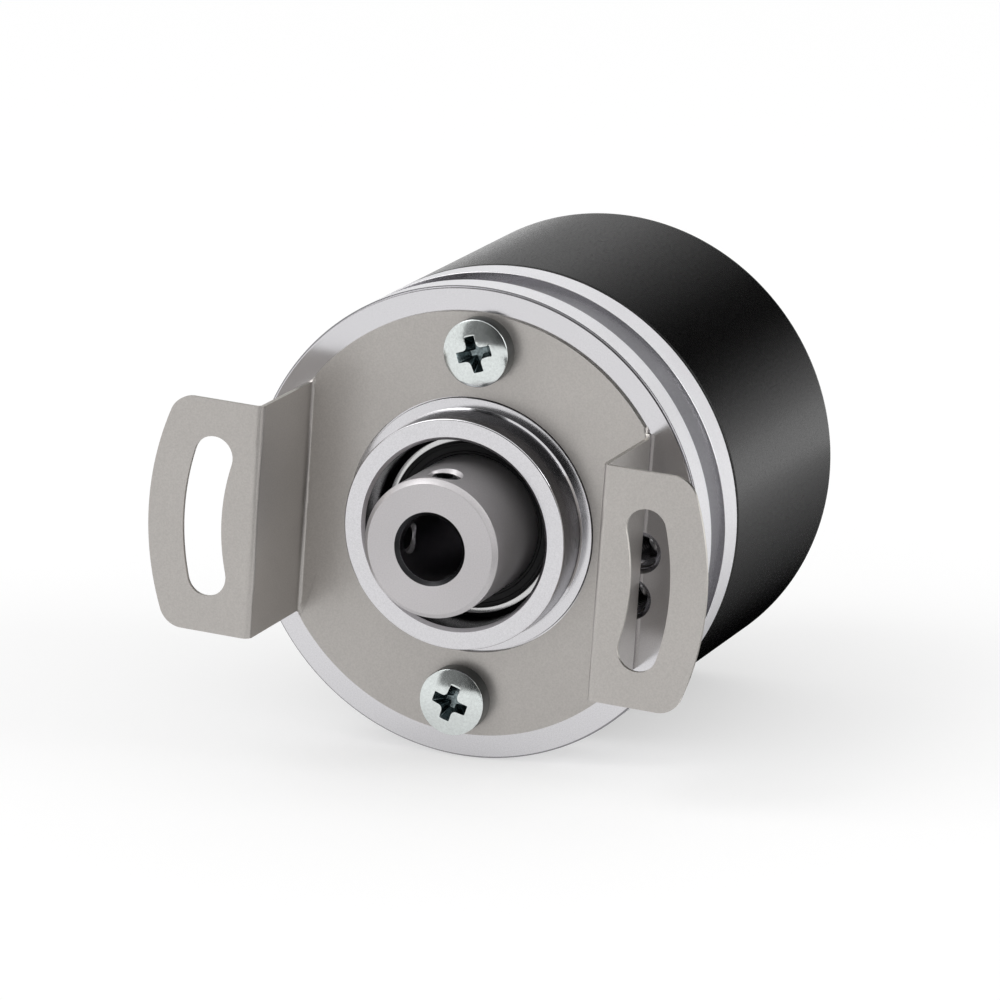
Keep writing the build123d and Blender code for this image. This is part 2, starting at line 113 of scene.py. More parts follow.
class EncoderSizes(PropertyGroup):
    """Sizes of the pieces"""

    edge: length("Edge", "Rounding of a turned edge", 0.12)
    fine_edge: length("Fine edge", "Rounding of a crisp edge", 0.05)
    soft_edge: length("Soft edge", "Rounding of a worn edge", 0.1)
    rim_edge: length("Rim edge", "Rounding of the flange's front edge", 0.34)
    housing_gap: length("Housing gap", "Open joint between the flange and the housing", 0.45)
    front_ring: length("Front ring", "Length of the flange's front ring", 4.0)
    groove_width: length("Groove width", "Width of the servo groove", 4.9)
    groove_depth: length("Groove depth", "Depth of the servo groove", 2.5)
    collar_radius: length("Collar radius", "Outer radius of the bearing collar", 14.1)
    shoulder_radius: length("Shoulder radius", "Radius of the step that centres the coupling", 15.5)
    root_chamfer: length("Root chamfer", "Chamfer where the collar meets the step", 0.2)
    mouth_chamfer: length("Mouth chamfer", "Chamfer of the bearing seat's mouth", 0.4)
    hole_circle: length("Hole circle", "Radius of the circle of the threaded holes", 21.6)
    hole_radius: length("Hole radius", "Outer radius of the threads in the flange", 2.05)
    hole_depth: length("Hole depth", "Depth of the threaded holes", 8.0)
    hole_chamfer: length("Hole chamfer", "Chamfer of the threaded holes", 0.5)
    second_hole_turn: angle("Second holes", "Where the second set of threaded holes starts", -15.6)
    thread_pitch: length("Thread pitch", "Pitch of the small screw threads", 0.7)
    thread_depth: length("Thread depth", "Depth of the small screw threads", 0.32)
    sheet: length("Sheet", "Thickness of the coupling's spring sheet", 0.5)
    bend: length("Bend", "Radius of the coupling's bends at the middle of the sheet", 0.75)
    plate_hole_radius: length("Plate hole", "Radius of the hole in the coupling's plate", 15.7)
    web_face: length("Web face", "Distance of the web's outer face from the axis", 22.0)
    web_half_height: length("Web half height", "Half the height of the webs and tabs", 14.3)
    tab_corner: length("Tab corner", "Corner radius of the tabs", 3.0)
    relief: length("Relief", "Rounding where the plate runs into a web", 0.8)
    slot_circle: length("Slot circle", "Radius of the circle that the slots follow", 28.4)
    slot_width: length("Slot width", "Width of the slots in the tabs", 5.0)
    slot_half_angle: angle("Slot half angle", "Half the angle between the ends of a slot", 15.0)
    head_radius: length("Head radius", "Radius of the coupling screws' heads", 4.1)
    head_height: length("Head height", "Height of the coupling screws' heads", 3.0)
    crown: length("Crown", "How far the domed top of a head rises over its rim", 0.7)
    recess_span: length("Recess span", "Span of the cross recess", 4.7)
    recess_width: length("Recess width", "Width of the cross recess's arms", 1.35)
    recess_depth: length("Recess depth", "Depth of the cross recess", 2.0)
    recess_rounding: length("Recess rounding", "Rounding between the arms of the cross recess", 0.55)
    upper_recess_turn: angle("Upper recess", "How the upper screw's cross is turned", 21.0)
    lower_recess_turn: angle("Lower recess", "How the lower screw's cross is turned", -16.0)
    bore_radius: length("Bore radius", "Radius of the shaft's bore", 4.0)
    bore_depth: length("Bore depth", "Depth of the shaft's bore", 28.0)
    bore_chamfer: length("Bore chamfer", "Chamfer of the bore's mouth", 0.5)
    shaft_chamfer: length("Shaft chamfer", "Chamfer of the shaft's front edge", 0.6)
    tail_radius: length("Tail radius", "Radius of the shaft behind the bearings", 7.0)
    tail_length: length("Tail length", "Length of the shaft behind the bearings", 7.1)
    ring_chamfer: length("Ring chamfer", "Chamfer of the bearing's outer ring", 0.65)
    seal_gap: length("Seal gap", "Width of the dark gap between the seal and the outer ring", 0.25)
    lip_clearance: length("Lip clearance", "Clearance of the seal's lip round the shaft", 0.1)
    socket_width: length("Socket width", "Width of the set screws' hexagon socket", 2.0)
    socket_depth: length("Socket depth", "Depth of the set screws' hexagon socket", 2.0)
    housing_wall: length("Housing wall", "Wall of the housing", 1.5)
    housing_rear_wall: length("Rear wall", "Rear wall of the housing", 1.8)
    connector_thread_pitch: length("Connector pitch", "Pitch of the connector's thread", 1.0)
    connector_thread_depth: length("Connector thread", "Depth of the connector's thread", 0.55)
    connector_wall: length("Connector wall", "Wall of the connector's shell", 1.8)
    connector_radius: length("Connector radius", "Outer radius of the connector's thread", 11.5)
    connector_flange: length("Connector flange", "Thickness of the connector's flange", 2.0)
    spigot_radius: length("Spigot radius", "Outer radius of the connector's spigot", 8.6)
    spigot_wall: length("Spigot wall", "Wall of the connector's spigot", 1.0)
    pin_circle: length("Pin circle", "Radius of the circle of the contact pins", 6.0)
    pin_radius: length("Pin radius", "Radius of a contact pin", 0.5)


class EncoderColours(PropertyGroup):
    """Colours of the finishes"""

    aluminium: colour("Aluminium", "Turned aluminium of the flange", (0.66, 0.653, 0.673))
    rim: colour("Rims", "Matte turned aluminium of the two rings' rims", (0.93, 0.925, 0.95))
    # Painted shade: the flange's aluminium made darker for the collar's sides and the rim's front edge
    painted_shade_side: colour(
        "Turned side", "Darker side of the collar and front edge of the rim", (0.24, 0.236, 0.248)
    )
    # Painted shade: the groove's floor is the rims' aluminium made darker
    groove: colour("Groove", "Turned floor of the servo groove", (0.52, 0.52, 0.535))
    sheet: colour("Sheet", "Rolled spring sheet of the coupling", (0.50, 0.477, 0.455))
    # Bare metal of the cut edges, partly a painted highlight: much lighter than the sheet so that the
    # edges shine
    sheared_edge_highlight: colour("Sheared edge", "Edges of the spring sheet", (0.82, 0.79, 0.74))
    # Painted shade: the bore's chamfered mouth painted near black
    bore_mouth_painted_shade: colour("Bore mouth", "Blackened chamfer of the shaft's bore", (0.03, 0.03, 0.032))
    # Painted shade: the shaft's steel made darker on the bore's wall
    bore_painted_shade: colour("Bore", "Oily steel inside the shaft's bore", (0.34, 0.33, 0.35))
    shaft: colour("Shaft", "Ground steel of the shaft", (0.58, 0.56, 0.57))
    bearing: colour("Bearing", "Polished steel of the bearings", (0.62, 0.62, 0.62))
    # Painted shade: near black steel for the front inner ring and the outer ring's chamfer
    ring_painted_shade: colour("Oily ring", "Oily front inner ring and outer ring's chamfer", (0.10, 0.10, 0.105))
    # Painted shade: the screws' zinc made darker on the sides of the heads
    zinc_side_painted_shade: colour("Zinc side", "Dull zinc on the sides of the screw heads", (0.20, 0.21, 0.21))
    # Painted shade: the screws' zinc made darker down in the cross recess
    zinc_recess_painted_shade: colour("Zinc recess", "Zinc down in the cross recess", (0.24, 0.29, 0.30))
    zinc: colour("Zinc", "Bright zinc of the coupling screws", (0.72, 0.76, 0.75))
    paint: colour("Paint", "Black paint of the housing", (0.0026, 0.0026, 0.0026))
    rubber: colour("Rubber", "Rubber of the seals", (0.010, 0.010, 0.011))
    oxide: colour("Black oxide", "Blackened steel of the small screws", (0.05, 0.05, 0.055))
    plastic: colour("Plastic", "Black moulded plastic", (0.02, 0.02, 0.022))
    board: colour("Board", "Solder resist of the circuit boards", (0.02, 0.13, 0.05))
    glass: colour("Glass", "Glass of the disc and the lens", (0.86, 0.93, 0.92))
    nickel: colour("Nickel", "Nickel plating of the connector", (0.62, 0.60, 0.55))
    gold: colour("Gold", "Gold plating of the contacts", (0.83, 0.62, 0.28))


class EncoderStage(PropertyGroup):
    """Studio and camera"""

    roll: angle("Roll", "How far the encoder is rolled on the floor", 4.21)
    azimuth: angle("Azimuth", "How far the camera stands to the right of the axis", 21.46)
    elevation: angle("Elevation", "How far the camera looks down", 13.62)
    distance: length("Distance", "Distance from the camera to the point it looks at", 793.5)
    aim: FloatVectorProperty(
        name="Aim", description="The point that the camera looks at", unit="LENGTH", precision=5,
        default=(2.89 * MM, 1.86 * MM, 2.78 * MM),
    )
    lens: amount("Lens", "Focal length in millimetres", 238.9)
    floor_colour: colour("Floor", "Colour of the floor", (0.52, 0.52, 0.52))
    floor_lift: amount("Floor lift", "Light that the floor adds for the eye", 0.5)
    front_flag: amount("Front flag", "Most light on the front card", 0.2)
    rear_flag: amount("Rear flag", "Most light on the rear left card", 0.42)
    fill: amount("Fill", "Strength of the even light from all sides", 0.75)


def soften(corners, steps=4):
    """The points of a closed outline whose corners are rounded by their own radii."""
    most_share = 0.45
    points = []
    for index, (across, along, rounding) in enumerate(corners):
        corner = Vector((across, along))
        if rounding == 0:
            points.append(corner)
            continue
        back = Vector(corners[index - 1][:2]) - corner
        ahead = Vector(corners[(index + 1) % len(corners)][:2]) - corner
        half = back.angle(ahead) / 2
        most_reach = most_share * min(back.length, ahead.length)
        reach = min(rounding / math.tan(half), most_reach)
        radius = reach * math.tan(half)
        middle = corner + (back.normalized() + ahead.normalized()).normalized() * radius / math.sin(half)
        start = (corner + back.normalized() * reach - middle).normalized()
        end = (corner + ahead.normalized() * reach - middle).normalized()
        points += [middle + start.slerp(end, step / steps) * radius for step in range(steps + 1)]
    return points


def lathe(name, corners, segments=192, ripple=None):
    """A closed piece turned about the Y axis. ripple moves a point in or out by its station and angle."""
    mesh = bmesh.new()
    rings = []
    for across, along in soften(corners):
        if across < TOUCHING:
            rings.append([mesh.verts.new((0, along, 0))])
            continue
        ring = []
        for segment in range(segments):
            turn = 2 * math.pi * segment / segments
            radius = ripple(across, along, turn) if ripple else across
            ring.append(mesh.verts.new((radius * math.cos(turn), along, radius * math.sin(turn))))
        rings.append(ring)
    for ring, following in zip(rings, rings[1:] + rings[:1]):
        for segment in range(segments):
            after = segment + 1
            around = [
                ring[segment % len(ring)],
                ring[after % len(ring)],
                following[after % len(following)],
                following[segment % len(following)],
            ]
            face = list(dict.fromkeys(around))
            if len(face) > 2:
                mesh.faces.new(face)
    return finish_mesh(name, mesh)


def finish_mesh(name, mesh):
    """Make an object of a mesh, with its normals outwards."""
    bmesh.ops.recalc_face_normals(mesh, faces=mesh.faces)
    data = bpy.data.meshes.new(name)
    mesh.to_mesh(data)
    mesh.free()
    piece = bpy.data.objects.new(name, data)
    bpy.context.scene.collection.objects.link(piece)
    return piece


def settle(piece):
    """Turn the piece's modifiers into its mesh."""
    depsgraph = bpy.context.evaluated_depsgraph_get()
    shaped = bpy.data.meshes.new_from_object(piece.evaluated_get(depsgraph))
    piece.modifiers.clear()
    piece.data = shaped
    return piece


def carve(piece, cutters):
    """Cut the cutters out of the piece."""
    for cutter in cutters:
        cut = piece.modifiers.new("Cut", "BOOLEAN")
        cut.operation = "DIFFERENCE"
        cut.solver = "EXACT"
        cut.object = cutter
    settle(piece)
    for cutter in cutters:
        bpy.data.objects.remove(cutter)
    return piece


def joined(name, parts):
    """Put several meshes with the same finishes in one piece."""
    mesh = bmesh.new()
    finishes = list(parts[0].data.materials)
    for part in parts:
        mesh.from_mesh(part.data)
        bpy.data.objects.remove(part)
    piece = finish_mesh(name, mesh)
    for finish in finishes:
        piece.data.materials.append(finish)
    return piece


def placed(piece, matrix):
    """Move the piece's mesh, which leaves its object at the origin."""
    piece.data.transform(matrix)
    return piece


def shade(piece, degrees=32):
    """Smooth the piece's round stretches and keep its flat ones flat."""
    piece.data.shade_smooth()
    piece.data.set_sharp_from_angle(angle=math.radians(degrees))
    normals = piece.modifiers.new("Flat faces stay flat", "WEIGHTED_NORMAL")
    normals.keep_sharp = True
    normals.weight = 80
    return settle(piece)


def dress(piece, body, slot, node, look=None):
    """Give the piece its finish, unless it has some already, and its place in the frame."""
    if not piece.data.materials:
        piece.data.materials.append(looks[look or slot])
    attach(piece, body)
    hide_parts(node)


def off_axis(face):
    """How far the middle of a face lies from the shaft axis."""
    return math.hypot(face.center.x, face.center.z)


def give_finishes(piece, *names):
    """Give the piece several finishes, for its faces to choose from by number."""
    for name in names:
        piece.data.materials.append(looks[name])


def break_edges(piece, width, degrees, finish):
    """Bevel the edges that turn by more than an angle, in one of the piece's finishes."""
    bevel = piece.modifiers.new("Broken edges", "BEVEL")
    bevel.width = width
    bevel.segments = 2
    bevel.limit_method = "ANGLE"
    bevel.angle_limit = math.radians(degrees)
    bevel.material = finish
    return settle(piece)


def thread(pitch, depth, first, last):
    """The ripple of a screw thread between two stations. It fades over half a pitch at both ends."""

    def ripple(across, along, turn):
        inside = min(along - first, last - along)
        if inside < 0:
            return across
        wave = 0.5 - 0.5 * math.cos(2 * math.pi * (along / pitch - turn / (2 * math.pi)))
        return across - depth * wave * min(1.0, 2 * inside / pitch)

    return ripple


def stretch(radius, first, last, step):
    """Corners close together along a stretch, for a thread to ripple."""
    count = max(2, round(abs(last - first) / step))
    return [(radius, first + (last - first) * index / count, 0) for index in range(count + 1)]


def threaded_cutter(sizes, chamfer, depth, outside):
    """A cutter for a threaded hole that goes in along +Y from the origin, with a chamfered mouth."""
    radius, pitch = sizes.hole_radius, sizes.thread_pitch
    corners = [
        (0, -outside, 0),
        (radius + chamfer + outside, -outside, 0),
        *stretch(radius, chamfer, depth, pitch / THREAD_ROWS),
        (0, depth + radius / 2, 0),
    ]
    return lathe("cutter", corners, 48, thread(pitch, sizes.thread_depth, chamfer, depth))


def rod(radius, first, last, sides):
    """A cutter along Y between two stations."""
    return lathe("cutter", [(0, first, 0), (radius, first, 0), (radius, last, 0), (0, last, 0)], sides)


def cross_cutter(span, width, depth, rounding, turn):
    """A tapered cross that goes in along +Y from the origin, rounded between its arms."""
    outside = 0.4 * MM
    far_share = 0.45
    tip = rounding / 5
    reach, half = span / 2, width / 2
    arm = [(half, half, rounding), (reach, half, tip), (reach, -half, tip)]
    corners = []
    for quarter in range(4):
        spin = Matrix.Rotation(-quarter * math.pi / 2, 2)
        corners += [(*(spin @ Vector((x, z))), corner_rounding) for x, z, corner_rounding in arm]
    points = soften(corners, 3)
    mesh = bmesh.new()
    rings = []
    for station in (-outside, depth):
        share = 1 + (far_share - 1) * station / depth
        rings.append([mesh.verts.new((x * share, station, z * share)) for x, z in points])
    near, far = rings
    mesh.faces.new(near)
    mesh.faces.new(far)
    for index in range(len(points)):
        mesh.faces.new((near[index - 1], near[index], far[index], far[index - 1]))
    return placed(finish_mesh("cutter", mesh), Matrix.Rotation(-turn, 4, "Y"))


def at(across, station, up):
    """A move to a point of the frame."""
    return Matrix.Translation((across, station, up))


class Tree:
    """A tree of shader nodes under construction."""

    def __init__(self, owner):
        owner.use_nodes = True
        self.nodes, self.links = owner.node_tree.nodes, owner.node_tree.links

    def feed(self, socket, value):
        """Link another node's output to the socket, or set a constant on it."""
        if isinstance(value, bpy.types.NodeSocket):
            self.links.new(value, socket)
        else:
            socket.default_value = value

    def add(self, kind, output, inputs=None, **settings):
        """The output of a new node, with its inputs fed by name or number."""
        node = self.nodes.new("ShaderNode" + kind)
        for setting, value in settings.items():
            setattr(node, setting, value)
        for socket, value in (inputs or {}).items():
            self.feed(node.inputs[socket], value)
        return node.outputs[output]

    def between(self, value, low, high, first=0.3, last=0.7):
        """The value moved from one range to another."""
        ends = {"From Min": first, "From Max": last, "To Min": low, "To Max": high}
        return self.add("MapRange", "Result", {"Value": value, **ends})

    def seen_directly(self):
        """1 for the camera and for what metal and glass show, and 0 for the light on things."""
        total = self.add("LightPath", "Is Camera Ray")
        for ray in ("Is Glossy Ray", "Is Transmission Ray"):
            either = {0: total, 1: self.add("LightPath", ray)}
            total = self.add("Math", "Value", either, operation="MAXIMUM")
        return total


class Look(Tree):
    """A procedural material under construction, with its coordinates in the frame's metres."""

    def __init__(self, name, base, metallic=0.0):
        self.material = bpy.data.materials.new(name)
        super().__init__(self.material)
        self.shader = self.nodes["Principled BSDF"]
        self.base = base
        self.height = None
        self.set(Base_Color=self.shaded(1.0), Metallic=metallic)

    def set(self, **values):
        """Feed sockets of the shader by name, with _ for a space."""
        for name, value in values.items():
            self.feed(self.shader.inputs[name.replace("_", " ")], value)

    def shaded(self, share):
        """The look's own colour times a share."""
        return (*[min(1.0, part * share) for part in self.base], 1.0)

    def place(self):
        """The frame's coordinates."""
        return self.add("TexCoord", "Object")

    def scaled(self, x, y, z):
        """Coordinates stretched along each axis."""
        return self.add("VectorMath", "Vector", {0: self.place(), 1: (x, y, z)}, operation="MULTIPLY")

    def even(self, per_metre):
        """Coordinates stretched alike along all axes."""
        return self.scaled(per_metre, per_metre, per_metre)

    def turned(self, per_metre):
        """Coordinates of radius and station, for marks that run round the shaft axis."""
        radius = self.add("VectorMath", "Value", {0: self.scaled(1, 0, 1)}, operation="LENGTH")
        station = self.add("SeparateXYZ", "Y", {0: self.place()})
        pair = self.add("CombineXYZ", "Vector", {"X": radius, "Y": station})
        return self.add("VectorMath", "Vector", {0: pair, "Scale": per_metre}, operation="SCALE")

    def noise(self, vector, detail=2.0, roughness=0.5):
        """Noise from 0 to 1 at those coordinates."""
        grain = {"Vector": vector, "Scale": 1.0, "Detail": detail, "Roughness": roughness}
        return self.add("TexNoise", "Fac", grain)

    def tint(self, value, darkest, lightest):
        """Let the value shade the colour, from darkest to lightest times its own."""
        ends = {"A": self.shaded(darkest), "B": self.shaded(lightest)}
        self.set(Base_Color=self.add("Mix", "Result", {"Factor": value, **ends}, data_type="RGBA"))

    def rough(self, value, low, high):
        """Let the value set the roughness."""
        self.set(Roughness=self.between(value, low, high))

    def bump(self, value, distance, strength=1.0):
        """Let the value raise the surface, on top of what raised it before."""
        inputs = {"Height": value, "Distance": distance, "Strength": strength}
        if self.height:
            inputs["Normal"] = self.height
        self.height = self.add("Bump", "Normal", inputs)
        self.set(Normal=self.height)


def turned_metal(name, base, low_roughness, high_roughness, ring_depth, anisotropic, metallic=1.0):
    """Metal off a lathe: fine rings about the shaft axis over a soft grain."""
    look = Look(name, base, metallic)
    rings = look.noise(look.turned(9000), detail=3.0, roughness=0.6)
    grain = look.noise(look.even(6000))
    clouds = look.noise(look.even(120), detail=3.0)
    look.tint(look.between(grain, 0.0, 1.0), 0.93, 1.04)
    look.rough(clouds, low_roughness, high_roughness)
    grain_depth = 0.6 * ring_depth
    look.bump(rings, ring_depth)
    look.bump(grain, grain_depth)
    around = look.add("Tangent", "Tangent", direction_type="RADIAL", axis="Y")
    look.set(Anisotropic=anisotropic, Tangent=around)
    return look.material


def rolled_sheet(name, base):
    """Spring sheet with the faint grain of rolling along Z, and small stains."""
    look = Look(name, base, metallic=0.72)
    rolling = look.noise(look.scaled(2600, 2600, 260), detail=3.0, roughness=0.6)
    grain = look.noise(look.even(5200))
    stains = look.noise(look.even(90), detail=4.0)
    look.tint(look.between(grain, 0.0, 1.0), 0.92, 1.05)
    look.rough(stains, 0.29, 0.37)
    look.bump(rolling, 0.0016 * MM)
    look.bump(grain, 0.0022 * MM)
    return look.material


def plated(name, base, low_roughness, high_roughness, spots=0.9):
    """Bright plating with a slightly uneven shine and darker spots."""
    look = Look(name, base, metallic=1.0)
    clouds = look.noise(look.even(700), detail=3.0)
    speckle = look.noise(look.even(3200))
    look.tint(look.between(speckle, 0.0, 1.0), spots, 1.03)
    look.rough(clouds, low_roughness, high_roughness)
    look.bump(clouds, 0.008 * MM, 0.6)
    return look.material


def textured_paint(name, base):
    """Black paint with a fine sandy texture."""
    look = Look(name, base)
    sand = look.noise(look.even(4200), roughness=0.7)
    look.tint(look.between(sand, 0.0, 1.0, 0.42, 0.64), 0.6, 2.2)
    look.rough(sand, 0.15, 0.33)
    look.bump(sand, 0.016 * MM, 0.8)
    look.set(Specular_IOR_Level=0.4)
    return look.material


def moulded(name, base, low_roughness, high_roughness, depth):
    """Moulded plastic or rubber with a matte, slightly uneven skin."""
    look = Look(name, base)
    skin = look.noise(look.even(2400), detail=3.0)
    clouds = look.noise(look.even(250))
    look.tint(look.between(clouds, 0.0, 1.0), 0.8, 1.25)
    look.rough(clouds, low_roughness, high_roughness)
    look.bump(skin, depth)
    look.set(Specular_IOR_Level=0.4)
    return look.material


def solder_resist(name, base):
    """Green board with fine lighter tracks under the lacquer."""
    look = Look(name, base)
    tracks = look.nodes.new("ShaderNodeTexBrick")
    look.feed(tracks.inputs["Vector"], look.scaled(900, 0, 900))
    for socket, share in (("Color1", 1.0), ("Color2", 0.85), ("Mortar", 1.6)):
        tracks.inputs[socket].default_value = look.shaded(share)
    tracks.inputs["Scale"].default_value = 1.0
    look.set(Base_Color=tracks.outputs["Color"])
    look.rough(look.noise(look.even(400)), 0.25, 0.35)
    look.bump(tracks.outputs["Fac"], 0.03 * MM, 0.5)
    return look.material


def clear_glass(name, base):
    """Clear glass with a trace of unevenness."""
    look = Look(name, base)
    look.rough(look.noise(look.even(300), detail=3.0), 0.01, 0.05)
    look.set(Transmission_Weight=1.0, IOR=1.5)
    return look.material


looks = {}


def make_looks(colours):
    """All the finishes: those of the record's material slots, and those of faces that differ."""
    looks.update({
        "flange_aluminium": turned_metal(
            "turned_aluminium", colours.aluminium, 0.12, 0.18, 0.0012 * MM, 0.2
        ),
        "turned_rim": turned_metal(
            "turned_rim", colours.rim, 0.5, 0.58, 0.002 * MM, 0.0, metallic=0.3
        ),
        # Painted shade on the groove's floor
        "groove_painted_shade": turned_metal(
            "groove_painted_shade", colours.groove, 0.36, 0.5, 0.006 * MM, 0.0, metallic=0.3
        ),
        # Painted shade on the collar's sides and the rim's front edge
        "painted_shade_side": turned_metal("painted_shade_side", colours.painted_shade_side, 0.2, 0.28, 0.0016 * MM, 0.3),
        "coupling_steel": rolled_sheet("rolled_sheet", colours.sheet),
        # Cut edges: bare metal with a painted highlight
        "sheared_edge_highlight": plated("sheared_edge_highlight", colours.sheared_edge_highlight, 0.3, 0.4),
        # Painted shade inside the bore
        "bore_painted_shade": turned_metal("bore_painted_shade", colours.bore_painted_shade, 0.3, 0.4, 0.002 * MM, 0.0),
        # Painted shade on the bore's mouth
        "bore_mouth_painted_shade": turned_metal("bore_mouth_painted_shade", colours.bore_mouth_painted_shade, 0.3, 0.4, 0.002 * MM, 0.0),
        # Painted shade on the bearing's rings
        "ring_painted_shade": turned_metal("ring_painted_shade", colours.ring_painted_shade, 0.3, 0.4, 0.0006 * MM, 0.2),
        # Painted shade on the sides of the screw heads
        "zinc_side_painted_shade": plated("zinc_side_painted_shade", colours.zinc_side_painted_shade, 0.3, 0.4),
        # Painted shade inside the cross recess
        "zinc_recess_painted_shade": plated("zinc_recess_painted_shade", colours.zinc_recess_painted_shade, 0.14, 0.26, spots=0.4),
        "zinc_screw": plated("bright_zinc", colours.zinc, 0.12, 0.2),
        "shaft_steel": turned_metal(
            "ground_steel", colours.shaft, 0.3, 0.38, 0.0012 * MM, 0.5, metallic=0.64
        ),
        "bearing_steel": turned_metal("polished_bearing", colours.bearing, 0.16, 0.22, 0.0006 * MM, 0.2),
        "seal_rubber": moulded("seal_rubber", colours.rubber, 0.5, 0.6, 0.01 * MM),
        "housing_black": textured_paint("black_paint", colours.paint),
        "black_screw": plated("black_oxide", colours.oxide, 0.28, 0.4, spots=0.7),
        "disc_glass": clear_glass("disc_glass", colours.glass),
        "lens_glass": clear_glass("lens_glass", colours.glass),
        "black_plastic": moulded("black_plastic", colours.plastic, 0.35, 0.45, 0.006 * MM),
        "board_green": solder_resist("solder_resist", colours.board),
        "nickel_brass": turned_metal("nickel_plate", colours.nickel, 0.16, 0.24, 0.001 * MM, 0.2),
        "gold_contact": plated("gold_plate", colours.gold, 0.15, 0.22),
    })


def flange_outline(sizes):
    """The flange's section: collar, two rings with the servo groove, spigot and bearing seats."""
    radius = flange_high.x
    groove_floor = radius - sizes.groove_depth
    groove_start = sizes.front_ring
    groove_end = groove_start + sizes.groove_width
    rear = housing_low.y
    spigot_radius = radius - sizes.housing_wall
    spigot_bore = spigot_radius - 1.5 * MM
    spigot_end = rear + 3.5 * MM
    hub_radius = 12.8 * MM
    hub_end = flange_high.y
    collar, collar_front, collar_edge = sizes.collar_radius, flange_low.y, 0.2 * MM
    seat = ring_high.x
    seat_start = ring_high.y
    web_radius = 10.2 * MM
    web_end = 12.1 * MM
    edge, fine = sizes.edge, sizes.fine_edge
    return [
        (seat + sizes.mouth_chamfer, collar_front, fine),
        (collar, collar_front, collar_edge),
        (collar, -sizes.sheet - sizes.root_chamfer, fine),
        (collar + sizes.root_chamfer, -sizes.sheet, fine),
        (sizes.shoulder_radius, -sizes.sheet, fine),
        (sizes.shoulder_radius, 0, fine),
        (radius, 0, sizes.rim_edge),
        (radius, groove_start, edge),
        (groove_floor, groove_start, edge),
        (groove_floor, groove_end, edge),
        (radius, groove_end, edge),
        (radius, rear, edge),
        (spigot_radius, rear, fine),
        (spigot_radius, spigot_end, fine),
        (spigot_bore, spigot_end, fine),
        (spigot_bore, rear, fine),
        (hub_radius, rear, fine),
        (hub_radius, hub_end, fine),
        (seat, hub_end, fine),
        (seat, web_end, fine),
        (web_radius, web_end, fine),
        (web_radius, seat_start, fine),
        (seat, seat_start, fine),
        (seat, collar_front + sizes.mouth_chamfer, fine),
    ]


def make_flange(sizes):
    """The flange with its threaded holes, with painted shade on the collar's sides, the rim's front edge
    and the groove's floor.
    """
    piece = lathe("flange_body", flange_outline(sizes), 256)
    turns = [quarter * math.pi / 2 for quarter in range(4)]
    turns += [sizes.second_hole_turn + third * 2 * math.pi / 3 for third in range(3)]
    circle = sizes.hole_circle
    outside = 0.5 * MM
    cutters = []
    for turn in turns:
        cutter = threaded_cutter(sizes, sizes.hole_chamfer, sizes.hole_depth, outside)
        cutters.append(placed(cutter, at(circle * math.cos(turn), 0, circle * math.sin(turn))))
    carve(piece, cutters)
    give_finishes(piece, "flange_aluminium", "painted_shade_side", "turned_rim", "groove_painted_shade")
    radius, fine = flange_high.x, sizes.fine_edge
    steepest_side = 0.3
    least_slope, most_slope = 0.1, 0.95
    for face in piece.data.polygons:
        across, station, slope = off_axis(face), face.center.y, abs(face.normal.y)
        on_collar = across < sizes.shoulder_radius + fine and station < ring_high.y
        on_edge = across > radius - sizes.rim_edge and station < sizes.rim_edge
        # Painted shade: the collar's sides and the rim's front edge take the darker aluminium
        if slope < steepest_side and on_collar or least_slope < slope < most_slope and on_edge:
            face.material_index = 1
        elif slope < steepest_side and across > radius - sizes.edge:
            face.material_index = 2
        # Painted shade: the groove's floor takes the darker aluminium
        elif slope < steepest_side and across < radius - sizes.groove_depth + fine and station > 0:
            face.material_index = 3
    return shade(piece)


def arc(middle, radius, start, end, steps):
    """Points on an arc between two angles."""
    turns = [start + (end - start) * step / steps for step in range(steps + 1)]
    return [(middle[0] + radius * math.cos(turn), middle[1] + radius * math.sin(turn)) for turn in turns]


class Fold:
    """Where a point of the coupling's flat pattern lies once the sheet is bent."""

    def __init__(self, sizes):
        half_sheet = sizes.sheet / 2
        self.bend = sizes.bend
        self.plate = -half_sheet
        self.tab = coupling_low.y + half_sheet
        self.web = sizes.web_face - half_sheet
        self.first_bend = self.web - self.bend
        self.bend_length = self.bend * math.pi / 2
        self.web_length = self.plate - self.tab - 2 * self.bend
        self.second_bend = self.first_bend + self.bend_length + self.web_length
        self.flat_tab = self.second_bend + self.bend_length

    def tab_shift(self):
        """How much further out the flat pattern's tab lies than the bent one's."""
        return self.flat_tab - (self.web + self.bend)

    def cuts(self, steps=7):
        """Places across the flat pattern where the bends need points."""
        return [
            start + self.bend_length * step / steps
            for start in (self.first_bend, self.second_bend)
            for step in range(steps + 1)
        ]

    def bent(self, across):
        """The place across and the station of a point of the bent sheet's middle."""
        side = math.copysign(1, across)
        flat = abs(across)
        if flat < self.first_bend:
            x, y = flat, self.plate
        elif flat < self.first_bend + self.bend_length:
            turn = (flat - self.first_bend) / self.bend
            x = self.first_bend + self.bend * math.sin(turn)
            y = self.plate - self.bend * (1 - math.cos(turn))
        elif flat < self.second_bend:
            x, y = self.web, self.plate - self.bend - (flat - self.first_bend - self.bend_length)
        elif flat < self.flat_tab:
            turn = (flat - self.second_bend) / self.bend
            x = self.web + self.bend * (1 - math.cos(turn))
            y = self.tab + self.bend * (1 - math.sin(turn))
        else:
            x, y = flat - self.tab_shift(), self.tab
        return side * x, y


